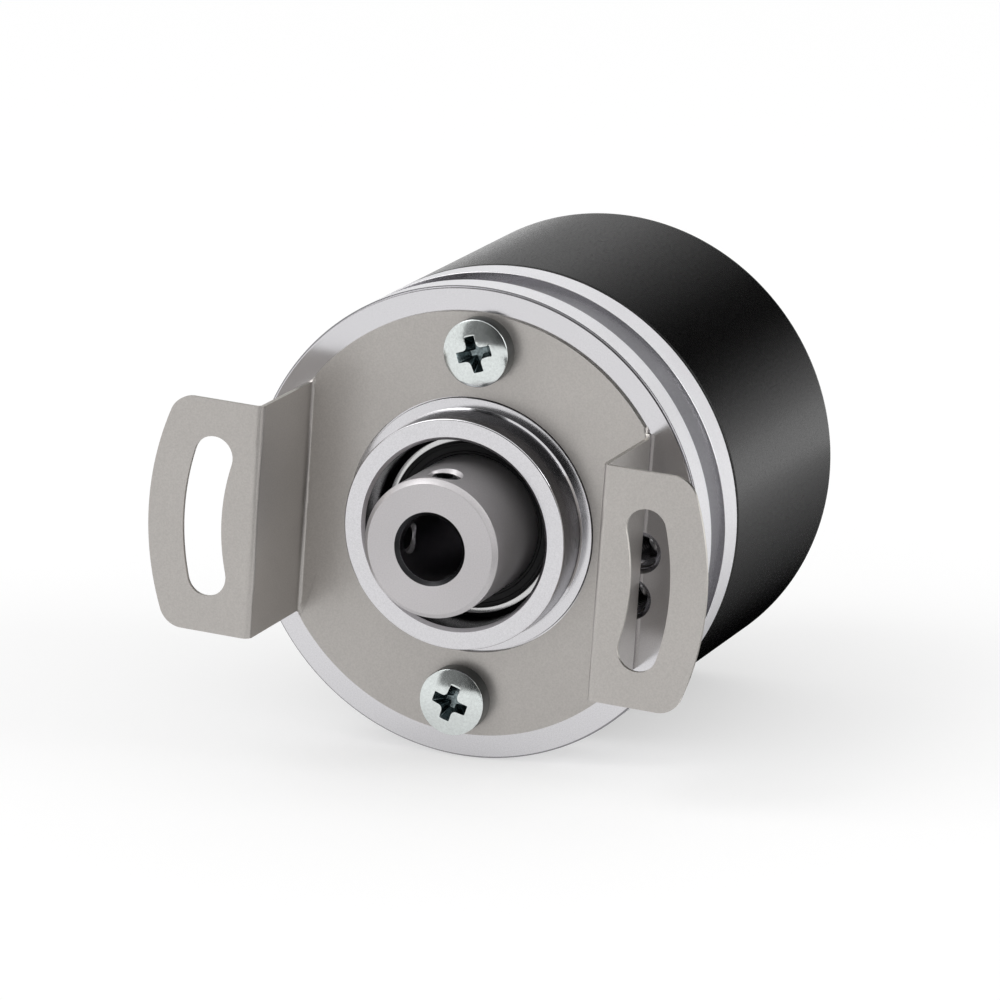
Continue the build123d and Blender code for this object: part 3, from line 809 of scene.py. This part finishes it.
def coupling_outline(sizes, fold):
    """The flat pattern's outline and holes, each a closed list of points across and up."""
    plate_radius, tab_radius = coupling_high.z, coupling_high.x
    half_height = sizes.web_half_height
    right = math.pi / 2
    # A quarter from the top of the plate to the middle of the right tab
    relief_across = math.sqrt((plate_radius + sizes.relief) ** 2 - (half_height + sizes.relief) ** 2)
    relief_turn = math.atan2(half_height + sizes.relief, relief_across)
    relief_middle = (relief_across, half_height + sizes.relief)
    corner_up = half_height - sizes.tab_corner
    corner_across = math.sqrt((tab_radius - sizes.tab_corner) ** 2 - corner_up**2)
    corner_turn = math.atan2(corner_up, corner_across)
    shift = fold.tab_shift()
    quarter = arc((0, 0), plate_radius, right, relief_turn, 32)
    quarter += arc(relief_middle, sizes.relief, relief_turn + math.pi, 3 * right, 8)
    quarter += arc((corner_across + shift, corner_up), sizes.tab_corner, right, corner_turn, 12)
    quarter += [(x + shift, z) for x, z in arc((0, 0), tab_radius, corner_turn, 0, 12)][1:]
    half = quarter + [(x, -z) for x, z in reversed(quarter[:-1])]
    outline = half + [(-x, z) for x, z in reversed(half[1:-1])]
    holes = [arc((0, 0), sizes.plate_hole_radius, 0, 2 * math.pi, 128)[:-1]]
    for up in (sizes.hole_circle, -sizes.hole_circle):
        holes.append(arc((0, up), sizes.hole_radius, 0, 2 * math.pi, 32)[:-1])
    half_slot = sizes.slot_width / 2
    sweep = sizes.slot_half_angle
    upper_end = (sizes.slot_circle * math.cos(sweep), sizes.slot_circle * math.sin(sweep))
    lower_end = (upper_end[0], -upper_end[1])
    slot = arc((0, 0), sizes.slot_circle + half_slot, -sweep, sweep, 20)
    slot += arc(upper_end, half_slot, sweep, sweep + math.pi, 16)[1:-1]
    slot += arc((0, 0), sizes.slot_circle - half_slot, sweep, -sweep, 20)
    slot += arc(lower_end, half_slot, math.pi - sweep, 2 * math.pi - sweep, 16)[1:-1]
    holes.append([(x + shift, z) for x, z in slot])
    holes.append([(-x - shift, z) for x, z in slot])
    return [outline, *holes]


def make_coupling(sizes):
    """The stator coupling: a flat pattern cut, bent, thickened and deburred."""
    fold = Fold(sizes)
    mesh = bmesh.new()
    for loop in coupling_outline(sizes, fold):
        corners = [mesh.verts.new((x, 0, z)) for x, z in loop]
        for index, corner in enumerate(corners):
            mesh.edges.new((corners[index - 1], corner))
    bmesh.ops.triangle_fill(mesh, use_beauty=True, edges=mesh.edges[:])
    for cut in fold.cuts():
        for side in (1, -1):
            bmesh.ops.bisect_plane(
                mesh, geom=[*mesh.verts, *mesh.edges, *mesh.faces], dist=TOUCHING,
                plane_co=(side * cut, 0, 0), plane_no=(1, 0, 0),
            )
    for point in mesh.verts:
        across, station = fold.bent(point.co.x)
        point.co.x, point.co.y = across, station
    as_flat = math.radians(0.5)
    bmesh.ops.dissolve_limit(
        mesh, angle_limit=as_flat, use_dissolve_boundaries=False,
        verts=mesh.verts[:], edges=mesh.edges[:],
    )
    piece = finish_mesh("coupling_sheet", mesh)
    give_finishes(piece, "coupling_steel", "sheared_edge_highlight")
    thick = piece.modifiers.new("Thickness", "SOLIDIFY")
    thick.thickness = sizes.sheet
    thick.offset = 0
    # The cut edges and their bevels take the light edge finish, partly a painted highlight
    thick.material_offset_rim = 1
    return shade(break_edges(piece, sizes.fine_edge, 50, finish=1), 40)


def make_coupling_screws(sizes):
    """Two pan head screws with a domed top and a cross recess."""
    radius = sizes.head_radius
    seat = -sizes.sheet
    top = seat - sizes.head_height
    rim = top + sizes.crown
    play = 0.02 * MM
    shank = sizes.hole_radius - sizes.thread_depth - play
    tip = 0.4 * MM
    rim_edge = 0.14 * MM
    end = coupling_screws_high.y
    dome = (radius**2 + sizes.crown**2) / (2 * sizes.crown)
    fine = sizes.fine_edge

    def domed(across):
        """The station of the domed top at a distance from the screw's axis."""
        return top + dome - math.sqrt(dome**2 - min(across, radius) ** 2)

    steps = 10
    corners = [
        *[(radius * step / steps, domed(radius * step / steps), 0) for step in range(steps)],
        (radius, rim, rim_edge),
        (radius, seat, sizes.edge),
        (shank, seat, 0),
        (shank, end - tip, 0),
        (shank - tip, end, 0),
        (0, end, 0),
    ]
    recess = sizes.recess_span, sizes.recess_width, sizes.recess_depth, sizes.recess_rounding
    screws = []
    for side, turn in ((1, sizes.upper_recess_turn), (-1, sizes.lower_recess_turn)):
        screw = lathe("screw", corners, 128)
        carve(screw, [placed(cross_cutter(*recess, turn), at(0, top, 0))])
        give_finishes(screw, "zinc_screw", "zinc_side_painted_shade", "zinc_recess_painted_shade")
        for face in screw.data.polygons:
            across, station = off_axis(face), face.center.y
            # Painted shade: the sides of the heads take darker zinc
            if across > radius - fine and station > rim + fine:
                face.material_index = 1
            # Painted shade: the inside of the cross recess takes darker zinc
            elif domed(across) + fine < station < top + sizes.recess_depth + fine:
                face.material_index = 2
        screws.append(placed(screw, at(0, 0, side * sizes.hole_circle)))
    piece = joined("coupling_screw_pair", screws)
    return shade(break_edges(piece, fine, 38, finish=0), 35)


def set_screw_places():
    """A move to each set screw's hole: its mouth on the outside of the shaft, and +Y going in."""
    station = (top_screw_low.y + top_screw_high.y) / 2
    radius = shaft_high.x
    return {
        "top": at(0, station, radius) @ Matrix.Rotation(-math.pi / 2, 4, "X"),
        "side": at(-radius, station, 0) @ Matrix.Rotation(-math.pi / 2, 4, "Z"),
    }


def make_shaft(sizes):
    """The hollow shaft with its blind bore and two threaded holes."""
    radius = shaft_high.x
    front = shaft_low.y
    rear = shaft_high.y
    step = rear - sizes.tail_length
    bore_end = front + sizes.bore_depth
    fine = sizes.fine_edge
    front_edge = 0.15 * MM
    hole_chamfer = 0.35 * MM
    outside = 0.8 * MM
    corners = [
        (0, bore_end, 0),
        (sizes.bore_radius, bore_end, fine),
        (sizes.bore_radius, front + sizes.bore_chamfer, fine),
        (sizes.bore_radius + sizes.bore_chamfer, front, fine),
        (radius - sizes.shaft_chamfer, front, fine),
        (radius, front + sizes.shaft_chamfer, front_edge),
        (radius, step, fine),
        (sizes.tail_radius, step, fine),
        (sizes.tail_radius, rear, fine),
        (0, rear, 0),
    ]
    piece = lathe("shaft_body", corners)
    depth = radius - sizes.bore_radius / 2
    cutters = []
    for place in set_screw_places().values():
        cutters.append(placed(threaded_cutter(sizes, hole_chamfer, depth, outside), place))
    carve(piece, cutters)
    give_finishes(piece, "shaft_steel", "bore_painted_shade", "bore_mouth_painted_shade")
    mouth = front + sizes.bore_chamfer - fine
    for face in piece.data.polygons:
        across, station = off_axis(face), face.center.y
        # Painted shade: the bore's wall takes darker steel
        if across < sizes.bore_radius + fine and mouth < station < bore_end + fine:
            face.material_index = 1
        # Painted shade: the bore's chamfered mouth takes near black steel
        elif across < sizes.bore_radius + sizes.bore_chamfer and front + fine / 4 < station <= mouth:
            face.material_index = 2
    return shade(piece)


def make_set_screw(sizes, name, place):
    """A set screw with a thread and a hexagon socket, sunk in its hole."""
    sink = shaft_high.x - top_screw_high.z
    end = sink + top_screw_high.z - top_screw_low.z
    chamfer = 0.35 * MM
    play = 0.03 * MM
    radius = sizes.hole_radius - sizes.thread_depth - play
    corners = [
        (0, sink, 0),
        (radius - chamfer, sink, 0),
        *stretch(radius, sink + chamfer, end - chamfer, sizes.thread_pitch / THREAD_ROWS),
        (radius - chamfer, end, 0),
        (0, end, 0),
    ]
    thread_depth = sizes.thread_depth / 2
    ripple = thread(sizes.thread_pitch, thread_depth, sink + chamfer, end - chamfer)
    screw = lathe(name, corners, 48, ripple)
    socket_corner = sizes.socket_width / 2 / math.cos(math.pi / 6)
    outside = 0.2 * MM
    socket = rod(socket_corner, sink - outside, sink + sizes.socket_depth, 6)
    carve(screw, [socket])
    return shade(placed(screw, place), 45)


def make_bearing_ring(sizes):
    """The outer ring of the front bearing, with its race."""
    lip = seal_high.x
    race = lip + 0.6 * MM
    race_edge = 0.5 * MM
    half_race = 0.9 * MM
    front, rear = ring_low.y, ring_high.y
    middle = (front + rear) / 2
    edge = sizes.fine_edge
    corners = [
        (lip, front, sizes.soft_edge),
        (ring_high.x - sizes.ring_chamfer, front, edge),
        (ring_high.x, front + sizes.ring_chamfer, edge),
        (ring_high.x, rear, edge),
        (lip, rear, edge),
        (lip, middle + half_race, edge),
        (race, middle + half_race, race_edge),
        (race, middle - half_race, race_edge),
        (lip, middle - half_race, edge),
    ]
    piece = lathe("bearing_outer_ring", corners, 160)
    give_finishes(piece, "bearing_steel", "ring_painted_shade")
    # Painted shade: the outer ring's chamfer takes near black steel
    for face in piece.data.polygons:
        if off_axis(face) > ring_high.x - sizes.ring_chamfer:
            face.material_index = 1
    return shade(piece)


def make_bearing_inner_ring(sizes):
    """The inner ring of the front bearing, with its front behind the seal's lip."""
    bore = shaft_high.x
    edge = sizes.fine_edge
    front = seal_high.y + sizes.lip_clearance
    corners = [
        (bore, front, edge),
        (inner_high.x, front, edge),
        (inner_high.x, inner_high.y, edge),
        (bore, inner_high.y, edge),
    ]
    return shade(lathe("bearing_inner_ring", corners, 160))


def make_seal(sizes):
    """The rubber seal with a raised lip round the shaft and a dark gap at the outer ring."""
    inner = shaft_high.x + sizes.lip_clearance
    outer = seal_high.x
    front, rear = seal_low.y, seal_high.y
    dip = 0.12 * MM
    lip_width = 0.3 * MM
    lip_edge = 0.08 * MM
    rim_width = 0.2 * MM
    rim_edge = 0.04 * MM
    slope = 0.1 * MM
    disc = outer - sizes.seal_gap
    fine = sizes.fine_edge
    corners = [
        (inner, front, lip_edge),
        (inner + lip_width, front, fine),
        (inner + lip_width + slope, front + dip, fine),
        (disc - rim_width - slope, front + dip, fine),
        (disc - rim_width, front, fine),
        (disc, front, rim_edge),
        (disc, rear - dip, 0),
        (outer, rear - dip, 0),
        (outer, rear, 0),
        (inner, rear, fine),
    ]
    return shade(lathe("bearing_seal", corners, 160))


def make_housing(sizes):
    """The housing can with its openings for the screws and the connector."""
    radius = housing_high.x
    bore = radius - sizes.housing_wall
    front, rear = housing_low.y + sizes.housing_gap, housing_high.y
    inside = rear - sizes.housing_rear_wall
    opening = 8.65 * MM
    front_edge = 0.25 * MM
    rear_edge = 0.9 * MM
    inner_edge = 1.0 * MM
    corners = [
        (bore, front, sizes.soft_edge),
        (radius, front, front_edge),
        (radius, rear, rear_edge),
        (opening, rear, sizes.soft_edge),
        (opening, inside, 0),
        (bore, inside, inner_edge),
    ]
    piece = lathe("housing_can", corners, 256)
    sink_radius = 2.75 * MM
    sink_depth = 1.25 * MM
    hole_radius = 1.3 * MM
    hole_depth = 3 * MM
    outside = 0.2 * MM
    sink = [
        (0, -outside, 0),
        (sink_radius, -outside, 0),
        (hole_radius, sink_depth, 0),
        (hole_radius, hole_depth, 0),
        (0, hole_depth, 0),
    ]
    cutters = [placed(lathe("cutter", sink, 64), place) for place in housing_screw_places()]
    return shade(carve(piece, cutters))


def housing_screw_places():
    """Places of the three housing screws, each with the housing's rear face at its origin, going in."""
    circle = 20.35 * MM
    first_turn = math.radians(30)
    places = []
    for third in range(3):
        turn = first_turn + third * 2 * math.pi / 3
        move = at(circle * math.cos(turn), housing_high.y, circle * math.sin(turn))
        places.append(move @ Matrix.Rotation(math.pi, 4, "Z"))
    return places


def make_housing_screws(sizes):
    """Three long countersunk screws with a cross recess."""
    head = 2.5 * MM
    head_rim = 0.15 * MM
    shank = 1.25 * MM
    recess_span = 2.8 * MM
    recess_width = 0.75 * MM
    recess_depth = 1.1 * MM
    recess_rounding = 0.2 * MM
    recess_turn = 0.4
    end = housing_high.y - housing_screws_low.y
    fine, soft = sizes.fine_edge, sizes.soft_edge
    corners = [
        (0, 0, 0),
        (head, 0, fine),
        (head, head_rim, fine),
        (shank, head - shank + head_rim, soft),
        (shank, end, soft),
        (0, end, 0),
    ]
    screws = []
    for place in housing_screw_places():
        recess = cross_cutter(recess_span, recess_width, recess_depth, recess_rounding, recess_turn)
        screws.append(placed(carve(lathe("screw", corners, 64), [recess]), place))
    return shade(joined("housing_screw_set", screws), 35)


def make_connector_shell(sizes):
    """The connector's shell, with its thread, a round flange and the spigot in the housing."""
    radius = sizes.connector_radius
    cavity = radius - sizes.connector_wall
    spigot = sizes.spigot_radius
    bore = spigot - sizes.spigot_wall
    flange = shell_high.x
    flange_edge = 0.3 * MM
    front, end = shell_low.y, shell_high.y
    seat = housing_high.y
    step = seat + sizes.connector_flange
    undercut = radius - 0.6 * MM
    undercut_length = 1.2 * MM
    thread_run_out = 0.3 * MM
    thread_chamfer = 0.5 * MM
    first, last = step + undercut_length, end - thread_run_out
    mouth_chamfer = 0.3 * MM
    rows = 13
    fine, soft = sizes.fine_edge, sizes.soft_edge
    corners = [
        (bore, front, soft),
        (spigot, front, soft),
        (spigot, seat, 0),
        (flange, seat, sizes.edge),
        (flange, step, flange_edge),
        (undercut, step, soft),
        (undercut, step + undercut_length / 2, 0),
        *stretch(radius, first, last, sizes.connector_thread_pitch / rows),
        (radius - thread_chamfer, end, fine),
        (cavity + mouth_chamfer, end, fine),
        (cavity, end - mouth_chamfer, fine),
        (cavity, step, soft),
        (bore, step, 0),
    ]
    ripple = thread(sizes.connector_thread_pitch, sizes.connector_thread_depth, first, last)
    return shade(lathe("connector_shell_body", corners, 144, ripple), 40)


def make_connector_insert(sizes):
    """The insulator of the connector, with a shallow trough round the contacts and a hole for each."""
    cavity = sizes.connector_radius - sizes.connector_wall
    bore = sizes.spigot_radius - sizes.spigot_wall
    step = housing_high.y + sizes.connector_flange
    front, end = insert_low.y, insert_high.y
    trough_floor = end - 0.35 * MM
    trough_outer, outer_slope = sizes.pin_circle + 1.7 * MM, 0.1 * MM
    trough_inner, inner_slope = sizes.pin_circle - 2.4 * MM, 0.2 * MM
    front_edge = 0.2 * MM
    end_edge = 0.15 * MM
    soft = sizes.soft_edge
    corners = [
        (0, front, 0),
        (bore, front, front_edge),
        (bore, step, 0),
        (cavity, step, sizes.fine_edge),
        (cavity, end, end_edge),
        (trough_outer, end, soft),
        (trough_outer - outer_slope, trough_floor, soft),
        (trough_inner + inner_slope, trough_floor, soft),
        (trough_inner, end, soft),
        (0, end, 0),
    ]
    piece = lathe("connector_insert_body", corners, 128)
    cutters = []
    for x, z in pin_places(sizes):
        cutters.append(placed(rod(sizes.pin_radius, front - MM, end + MM, 32), at(x, 0, z)))
    return shade(carve(piece, cutters))


def pin_places(sizes):
    """Places of the contact pins: eight on a circle and one in the middle."""
    places = [(0.0, 0.0)]
    for eighth in range(8):
        turn = eighth * math.pi / 4
        places.append((sizes.pin_circle * math.cos(turn), sizes.pin_circle * math.sin(turn)))
    return places


def make_connector_pins(sizes):
    """Contact pins with rounded ends."""
    start, end = pins_low.y, pins_high.y
    radius = sizes.pin_radius
    tip = 0.3 * MM
    tip_radius = 0.75 * radius
    tip_edge = 0.2 * MM
    corners = [
        (0, start, 0),
        (radius, start, sizes.soft_edge),
        (radius, end - tip, tip_edge),
        (tip_radius, end, tip_edge),
        (0, end, 0),
    ]
    pins = [placed(lathe("pin", corners, 32), at(x, 0, z)) for x, z in pin_places(sizes)]
    return shade(joined("connector_pin_set", pins))


def upright(left, right, low, high, station):
    """The corners of an upright card across the shaft axis."""
    return [(left, station, low), (right, station, low), (right, station, high), (left, station, high)]


def lying(stage, left, right, near, far, lift=0.1 * MM):
    """The corners of a card that lies just over the floor, tilted as the encoder is rolled."""
    tilt = Matrix.Rotation(-stage.roll, 3, "Y")
    up = lift - flange_high.x
    return [tilt @ Vector((x, y, up)) for x, y in ((left, near), (right, near), (right, far), (left, far))]


def make_card(name, corners, look):
    """A flat piece of the stage."""
    mesh = bmesh.new()
    mesh.faces.new([mesh.verts.new(corner) for corner in corners])
    card = finish_mesh(name, mesh)
    card.data.materials.append(look.material)
    return card


def make_floor(stage):
    """A pale floor, tilted as the encoder is rolled, that touches the flange."""
    half = 20.0
    look = Look("pale_floor", stage.floor_colour)
    lift = look.add("Math", "Value", {0: look.seen_directly(), 1: stage.floor_lift}, operation="MULTIPLY")
    look.set(Roughness=0.9, Specular_IOR_Level=0.0, Emission_Color=WHITE, Emission_Strength=lift)
    make_card("floor", lying(stage, -half, half, -half, half, lift=0.0), look)


def make_flag(name, corners, axis, dark_at, light_at, dark, light):
    """A card outside the picture, which only shows in shiny surfaces and grows lighter along an axis."""
    look = Look(name, (0, 0, 0))
    along = look.add("SeparateXYZ", axis, {0: look.place()})
    glow = look.between(along, dark, light, dark_at, light_at)
    look.set(Specular_IOR_Level=0.0, Emission_Color=WHITE, Emission_Strength=glow)
    flag = make_card(name, corners, look)
    flag.visible_camera = False
    flag.visible_diffuse = False
    flag.visible_transmission = False
    flag.visible_shadow = False


def make_flags(stage):
    """Cards in front over the horizon, behind on both sides, and on the floor behind, with a painted
    shadow, and in front.
    """
    front, rear = -1.5, 1.6
    card = upright(-1.05, 1.6, 0.0, 2.0, front)
    make_flag("front_flag", card, "X", dark_at=0.2, light_at=-0.4, dark=0.05, light=stage.front_flag)
    card = upright(0.3, 3.5, 0.0, 3.5, rear)
    make_flag("rear_right_flag", card, "Z", dark_at=0.45, light_at=0.0, dark=0.0, light=0.75)
    card = upright(-3.0, 0.3, 0.0, 3.5, rear)
    make_flag("rear_left_flag", card, "X", dark_at=0.24, light_at=-0.48, dark=0.0, light=stage.rear_flag)
    # Painted shadow: this card, dark next to the encoder and lighter further out, shows the floor's shade
    # in shiny surfaces
    card = lying(stage, -0.035, 0.11, 0.014, 0.2)
    make_flag("floor_shadow_flag", card, "X", dark_at=0.025, light_at=0.11, dark=0.0, light=0.9)
    card = lying(stage, 0.046, 0.12, -0.2, -0.04)
    make_flag("corner_flag", card, "X", dark_at=0.0, light_at=1.0, dark=0.05, light=0.05)


def make_world(stage):
    """An even pale world that looks white and lights softly."""
    world = bpy.data.worlds.new("studio")
    bpy.context.scene.world = world
    tree = Tree(world)
    background = tree.nodes["Background"]
    background.inputs["Color"].default_value = WHITE
    strength = tree.between(tree.seen_directly(), stage.fill, 1.0, 0.0, 1.0)
    tree.feed(background.inputs["Strength"], strength)


def towards(azimuth, elevation):
    """A direction away from the encoder. Azimuth 0 is in front and 90 degrees on the right."""
    level = math.cos(elevation)
    return Vector((math.sin(azimuth) * level, -math.cos(azimuth) * level, math.sin(elevation)))


def make_lamp(name, stage, azimuth, elevation, width, height, power):
    """A soft box that faces the encoder, with its angles in degrees from the tilted floor."""
    distance = 2.6
    lamp = bpy.data.lights.new(name, "AREA")
    lamp.shape = "RECTANGLE"
    lamp.size, lamp.size_y = width, height
    lamp.energy = power
    lamp_object = bpy.data.objects.new(name, lamp)
    bpy.context.scene.collection.objects.link(lamp_object)
    turn = Matrix.Rotation(-stage.roll, 3, "Y")
    way = turn @ towards(math.radians(azimuth), math.radians(elevation))
    lamp_object.location = way * distance
    lamp_object.rotation_mode = "QUATERNION"
    lamp_object.rotation_quaternion = way.to_track_quat("Z", "Y")


def make_camera(stage):
    """A long lens at the photograph's angle, level with the floor."""
    camera = bpy.data.objects.new("camera", bpy.data.cameras.new("camera"))
    bpy.context.scene.collection.objects.link(camera)
    bpy.context.scene.camera = camera
    camera.data.sensor_width = 36.0
    camera.data.lens = stage.lens
    camera.data.clip_start, camera.data.clip_end = 0.01, 50.0
    turn = Matrix.Rotation(-stage.roll, 3, "Y")
    back = towards(stage.azimuth, stage.elevation)
    camera.rotation_mode = "QUATERNION"
    level = (-back).to_track_quat("-Z", "Y").to_matrix()
    camera.rotation_quaternion = (turn @ level).to_quaternion()
    camera.location = turn @ (Vector(stage.aim) + back * stage.distance)


class PieceOperator:
    """What the operators that add a piece share."""

    bl_options = {"REGISTER", "UNDO"}

    def sizes(self, context):
        """The sizes. The first piece that asks for them has the finishes made too."""
        if not looks:
            make_looks(context.scene.encoder_colours)
        return context.scene.encoder_sizes


class ENCODER_OT_flange(PieceOperator, Operator):
    """Add the turned flange with its collar, servo groove and threaded holes"""

    bl_idname = "encoder.flange"
    bl_label = "Flange"

    def execute(self, context):
        dress(make_flange(self.sizes(context)), "stator", "flange_aluminium", "flange")
        return {"FINISHED"}


class ENCODER_OT_coupling(PieceOperator, Operator):
    """Add the bent spring coupling with its slotted tabs"""

    bl_idname = "encoder.coupling"
    bl_label = "Stator Coupling"

    def execute(self, context):
        dress(make_coupling(self.sizes(context)), "stator", "coupling_steel", "stator_coupling")
        return {"FINISHED"}


class ENCODER_OT_coupling_screws(PieceOperator, Operator):
    """Add the two pan head screws that hold the coupling"""

    bl_idname = "encoder.coupling_screws"
    bl_label = "Coupling Screws"

    def execute(self, context):
        dress(make_coupling_screws(self.sizes(context)), "stator", "zinc_screw", "coupling_screws")
        return {"FINISHED"}


class ENCODER_OT_shaft(PieceOperator, Operator):
    """Add the hollow shaft and its two set screws"""

    bl_idname = "encoder.shaft"
    bl_label = "Hollow Shaft"

    def execute(self, context):
        sizes = self.sizes(context)
        dress(make_shaft(sizes), "rotor", "shaft_steel", "hollow_shaft")
        for side, place in set_screw_places().items():
            screw = make_set_screw(sizes, f"{side}_set_screw_body", place)
            dress(screw, f"{side}_clamp_screw", "black_screw", f"{side}_set_screw")
        return {"FINISHED"}


class ENCODER_OT_bearing(PieceOperator, Operator):
    """Add the rings and the seal of the front bearing"""

    bl_idname = "encoder.bearing"
    bl_label = "Front Bearing"

    def execute(self, context):
        sizes = self.sizes(context)
        dress(make_bearing_ring(sizes), "stator", "bearing_steel", "front_bearing_outer_ring")
        inner_ring = make_bearing_inner_ring(sizes)
        # The inner ring takes painted shade, near black steel
        dress(inner_ring, "rotor", "bearing_steel", "front_bearing_inner_ring", look="ring_painted_shade")
        dress(make_seal(sizes), "stator", "seal_rubber", "front_bearing_seal")
        return {"FINISHED"}


class ENCODER_OT_housing(PieceOperator, Operator):
    """Add the housing can and its screws"""

    bl_idname = "encoder.housing"
    bl_label = "Housing"

    def execute(self, context):
        sizes = self.sizes(context)
        dress(make_housing(sizes), "stator", "housing_black", "housing")
        dress(make_housing_screws(sizes), "stator", "black_screw", "housing_screws")
        return {"FINISHED"}


class ENCODER_OT_connector(PieceOperator, Operator):
    """Add the connector's shell, insert and pins"""

    bl_idname = "encoder.connector"
    bl_label = "Connector"

    def execute(self, context):
        sizes = self.sizes(context)
        dress(make_connector_shell(sizes), "stator", "nickel_brass", "connector_shell")
        dress(make_connector_insert(sizes), "stator", "black_plastic", "connector_insert")
        dress(make_connector_pins(sizes), "stator", "gold_contact", "connector_pins")
        return {"FINISHED"}


class ENCODER_OT_inner_pieces(PieceOperator, Operator):
    """Give the CAD pieces that stay, inside the housing, their finishes"""

    bl_idname = "encoder.inner_pieces"
    bl_label = "Inner Pieces"

    def execute(self, context):
        # The finishes come with the sizes
        self.sizes(context)
        for part in frame["record"]["subparts"]:
            node = frame["nodes"][part["node"]]
            if not node.hide_render:
                node.data.materials.clear()
                node.data.materials.append(looks[part["material_slot"]])
        return {"FINISHED"}


class ENCODER_OT_stage(Operator):
    """Add the floor, the cards, the lamps, the world and the camera"""

    bl_idname = "encoder.stage"
    bl_label = "Stage"
    bl_options = {"REGISTER", "UNDO"}

    def execute(self, context):
        stage = context.scene.encoder_stage
        make_floor(stage)
        make_world(stage)
        make_flags(stage)
        make_lamp("key_lamp", stage, azimuth=-50, elevation=48, width=1.5, height=1.5, power=15.5)
        make_lamp("side_lamp", stage, azimuth=95, elevation=25, width=1.2, height=1.6, power=16.0)
        make_camera(stage)
        context.scene.view_settings.view_transform = "Standard"
        return {"FINISHED"}


class ENCODER_PT_panel(Panel):
    """Sizes, colours and pieces of the encoder"""

    bl_idname = "ENCODER_PT_panel"
    bl_label = "Rotary Encoder"
    bl_space_type = "VIEW_3D"
    bl_region_type = "UI"
    bl_category = "Encoder"

    def draw(self, context):
        layout = self.layout
        for operator in operators:
            layout.operator(operator.bl_idname)
        for heading, group in (
            ("Sizes", context.scene.encoder_sizes),
            ("Colours", context.scene.encoder_colours),
            ("Stage", context.scene.encoder_stage),
        ):
            layout.label(text=heading)
            for name in type(group).__annotations__:
                layout.prop(group, name)


operators = (
    ENCODER_OT_flange,
    ENCODER_OT_coupling,
    ENCODER_OT_coupling_screws,
    ENCODER_OT_shaft,
    ENCODER_OT_bearing,
    ENCODER_OT_housing,
    ENCODER_OT_connector,
    ENCODER_OT_inner_pieces,
    ENCODER_OT_stage,
)
groups = {
    "encoder_sizes": EncoderSizes,
    "encoder_colours": EncoderColours,
    "encoder_stage": EncoderStage,
}


def register():
    """Register the properties, the operators and the panel."""
    for name, group in groups.items():
        bpy.utils.register_class(group)
        setattr(bpy.types.Scene, name, PointerProperty(type=group))
    for operator in operators:
        bpy.utils.register_class(operator)
    bpy.utils.register_class(ENCODER_PT_panel)


def unregister():
    """Take back what register did."""
    bpy.utils.unregister_class(ENCODER_PT_panel)
    for operator in reversed(operators):
        bpy.utils.unregister_class(operator)
    for name, group in groups.items():
        delattr(bpy.types.Scene, name)
        bpy.utils.unregister_class(group)


def main():
    """Build the whole scene."""
    register()
    bpy.ops.encoder.flange()
    bpy.ops.encoder.coupling()
    bpy.ops.encoder.coupling_screws()
    bpy.ops.encoder.shaft()
    bpy.ops.encoder.bearing()
    bpy.ops.encoder.housing()
    bpy.ops.encoder.connector()
    bpy.ops.encoder.inner_pieces()
    bpy.ops.encoder.stage()


if __name__ == "__main__":
    main()
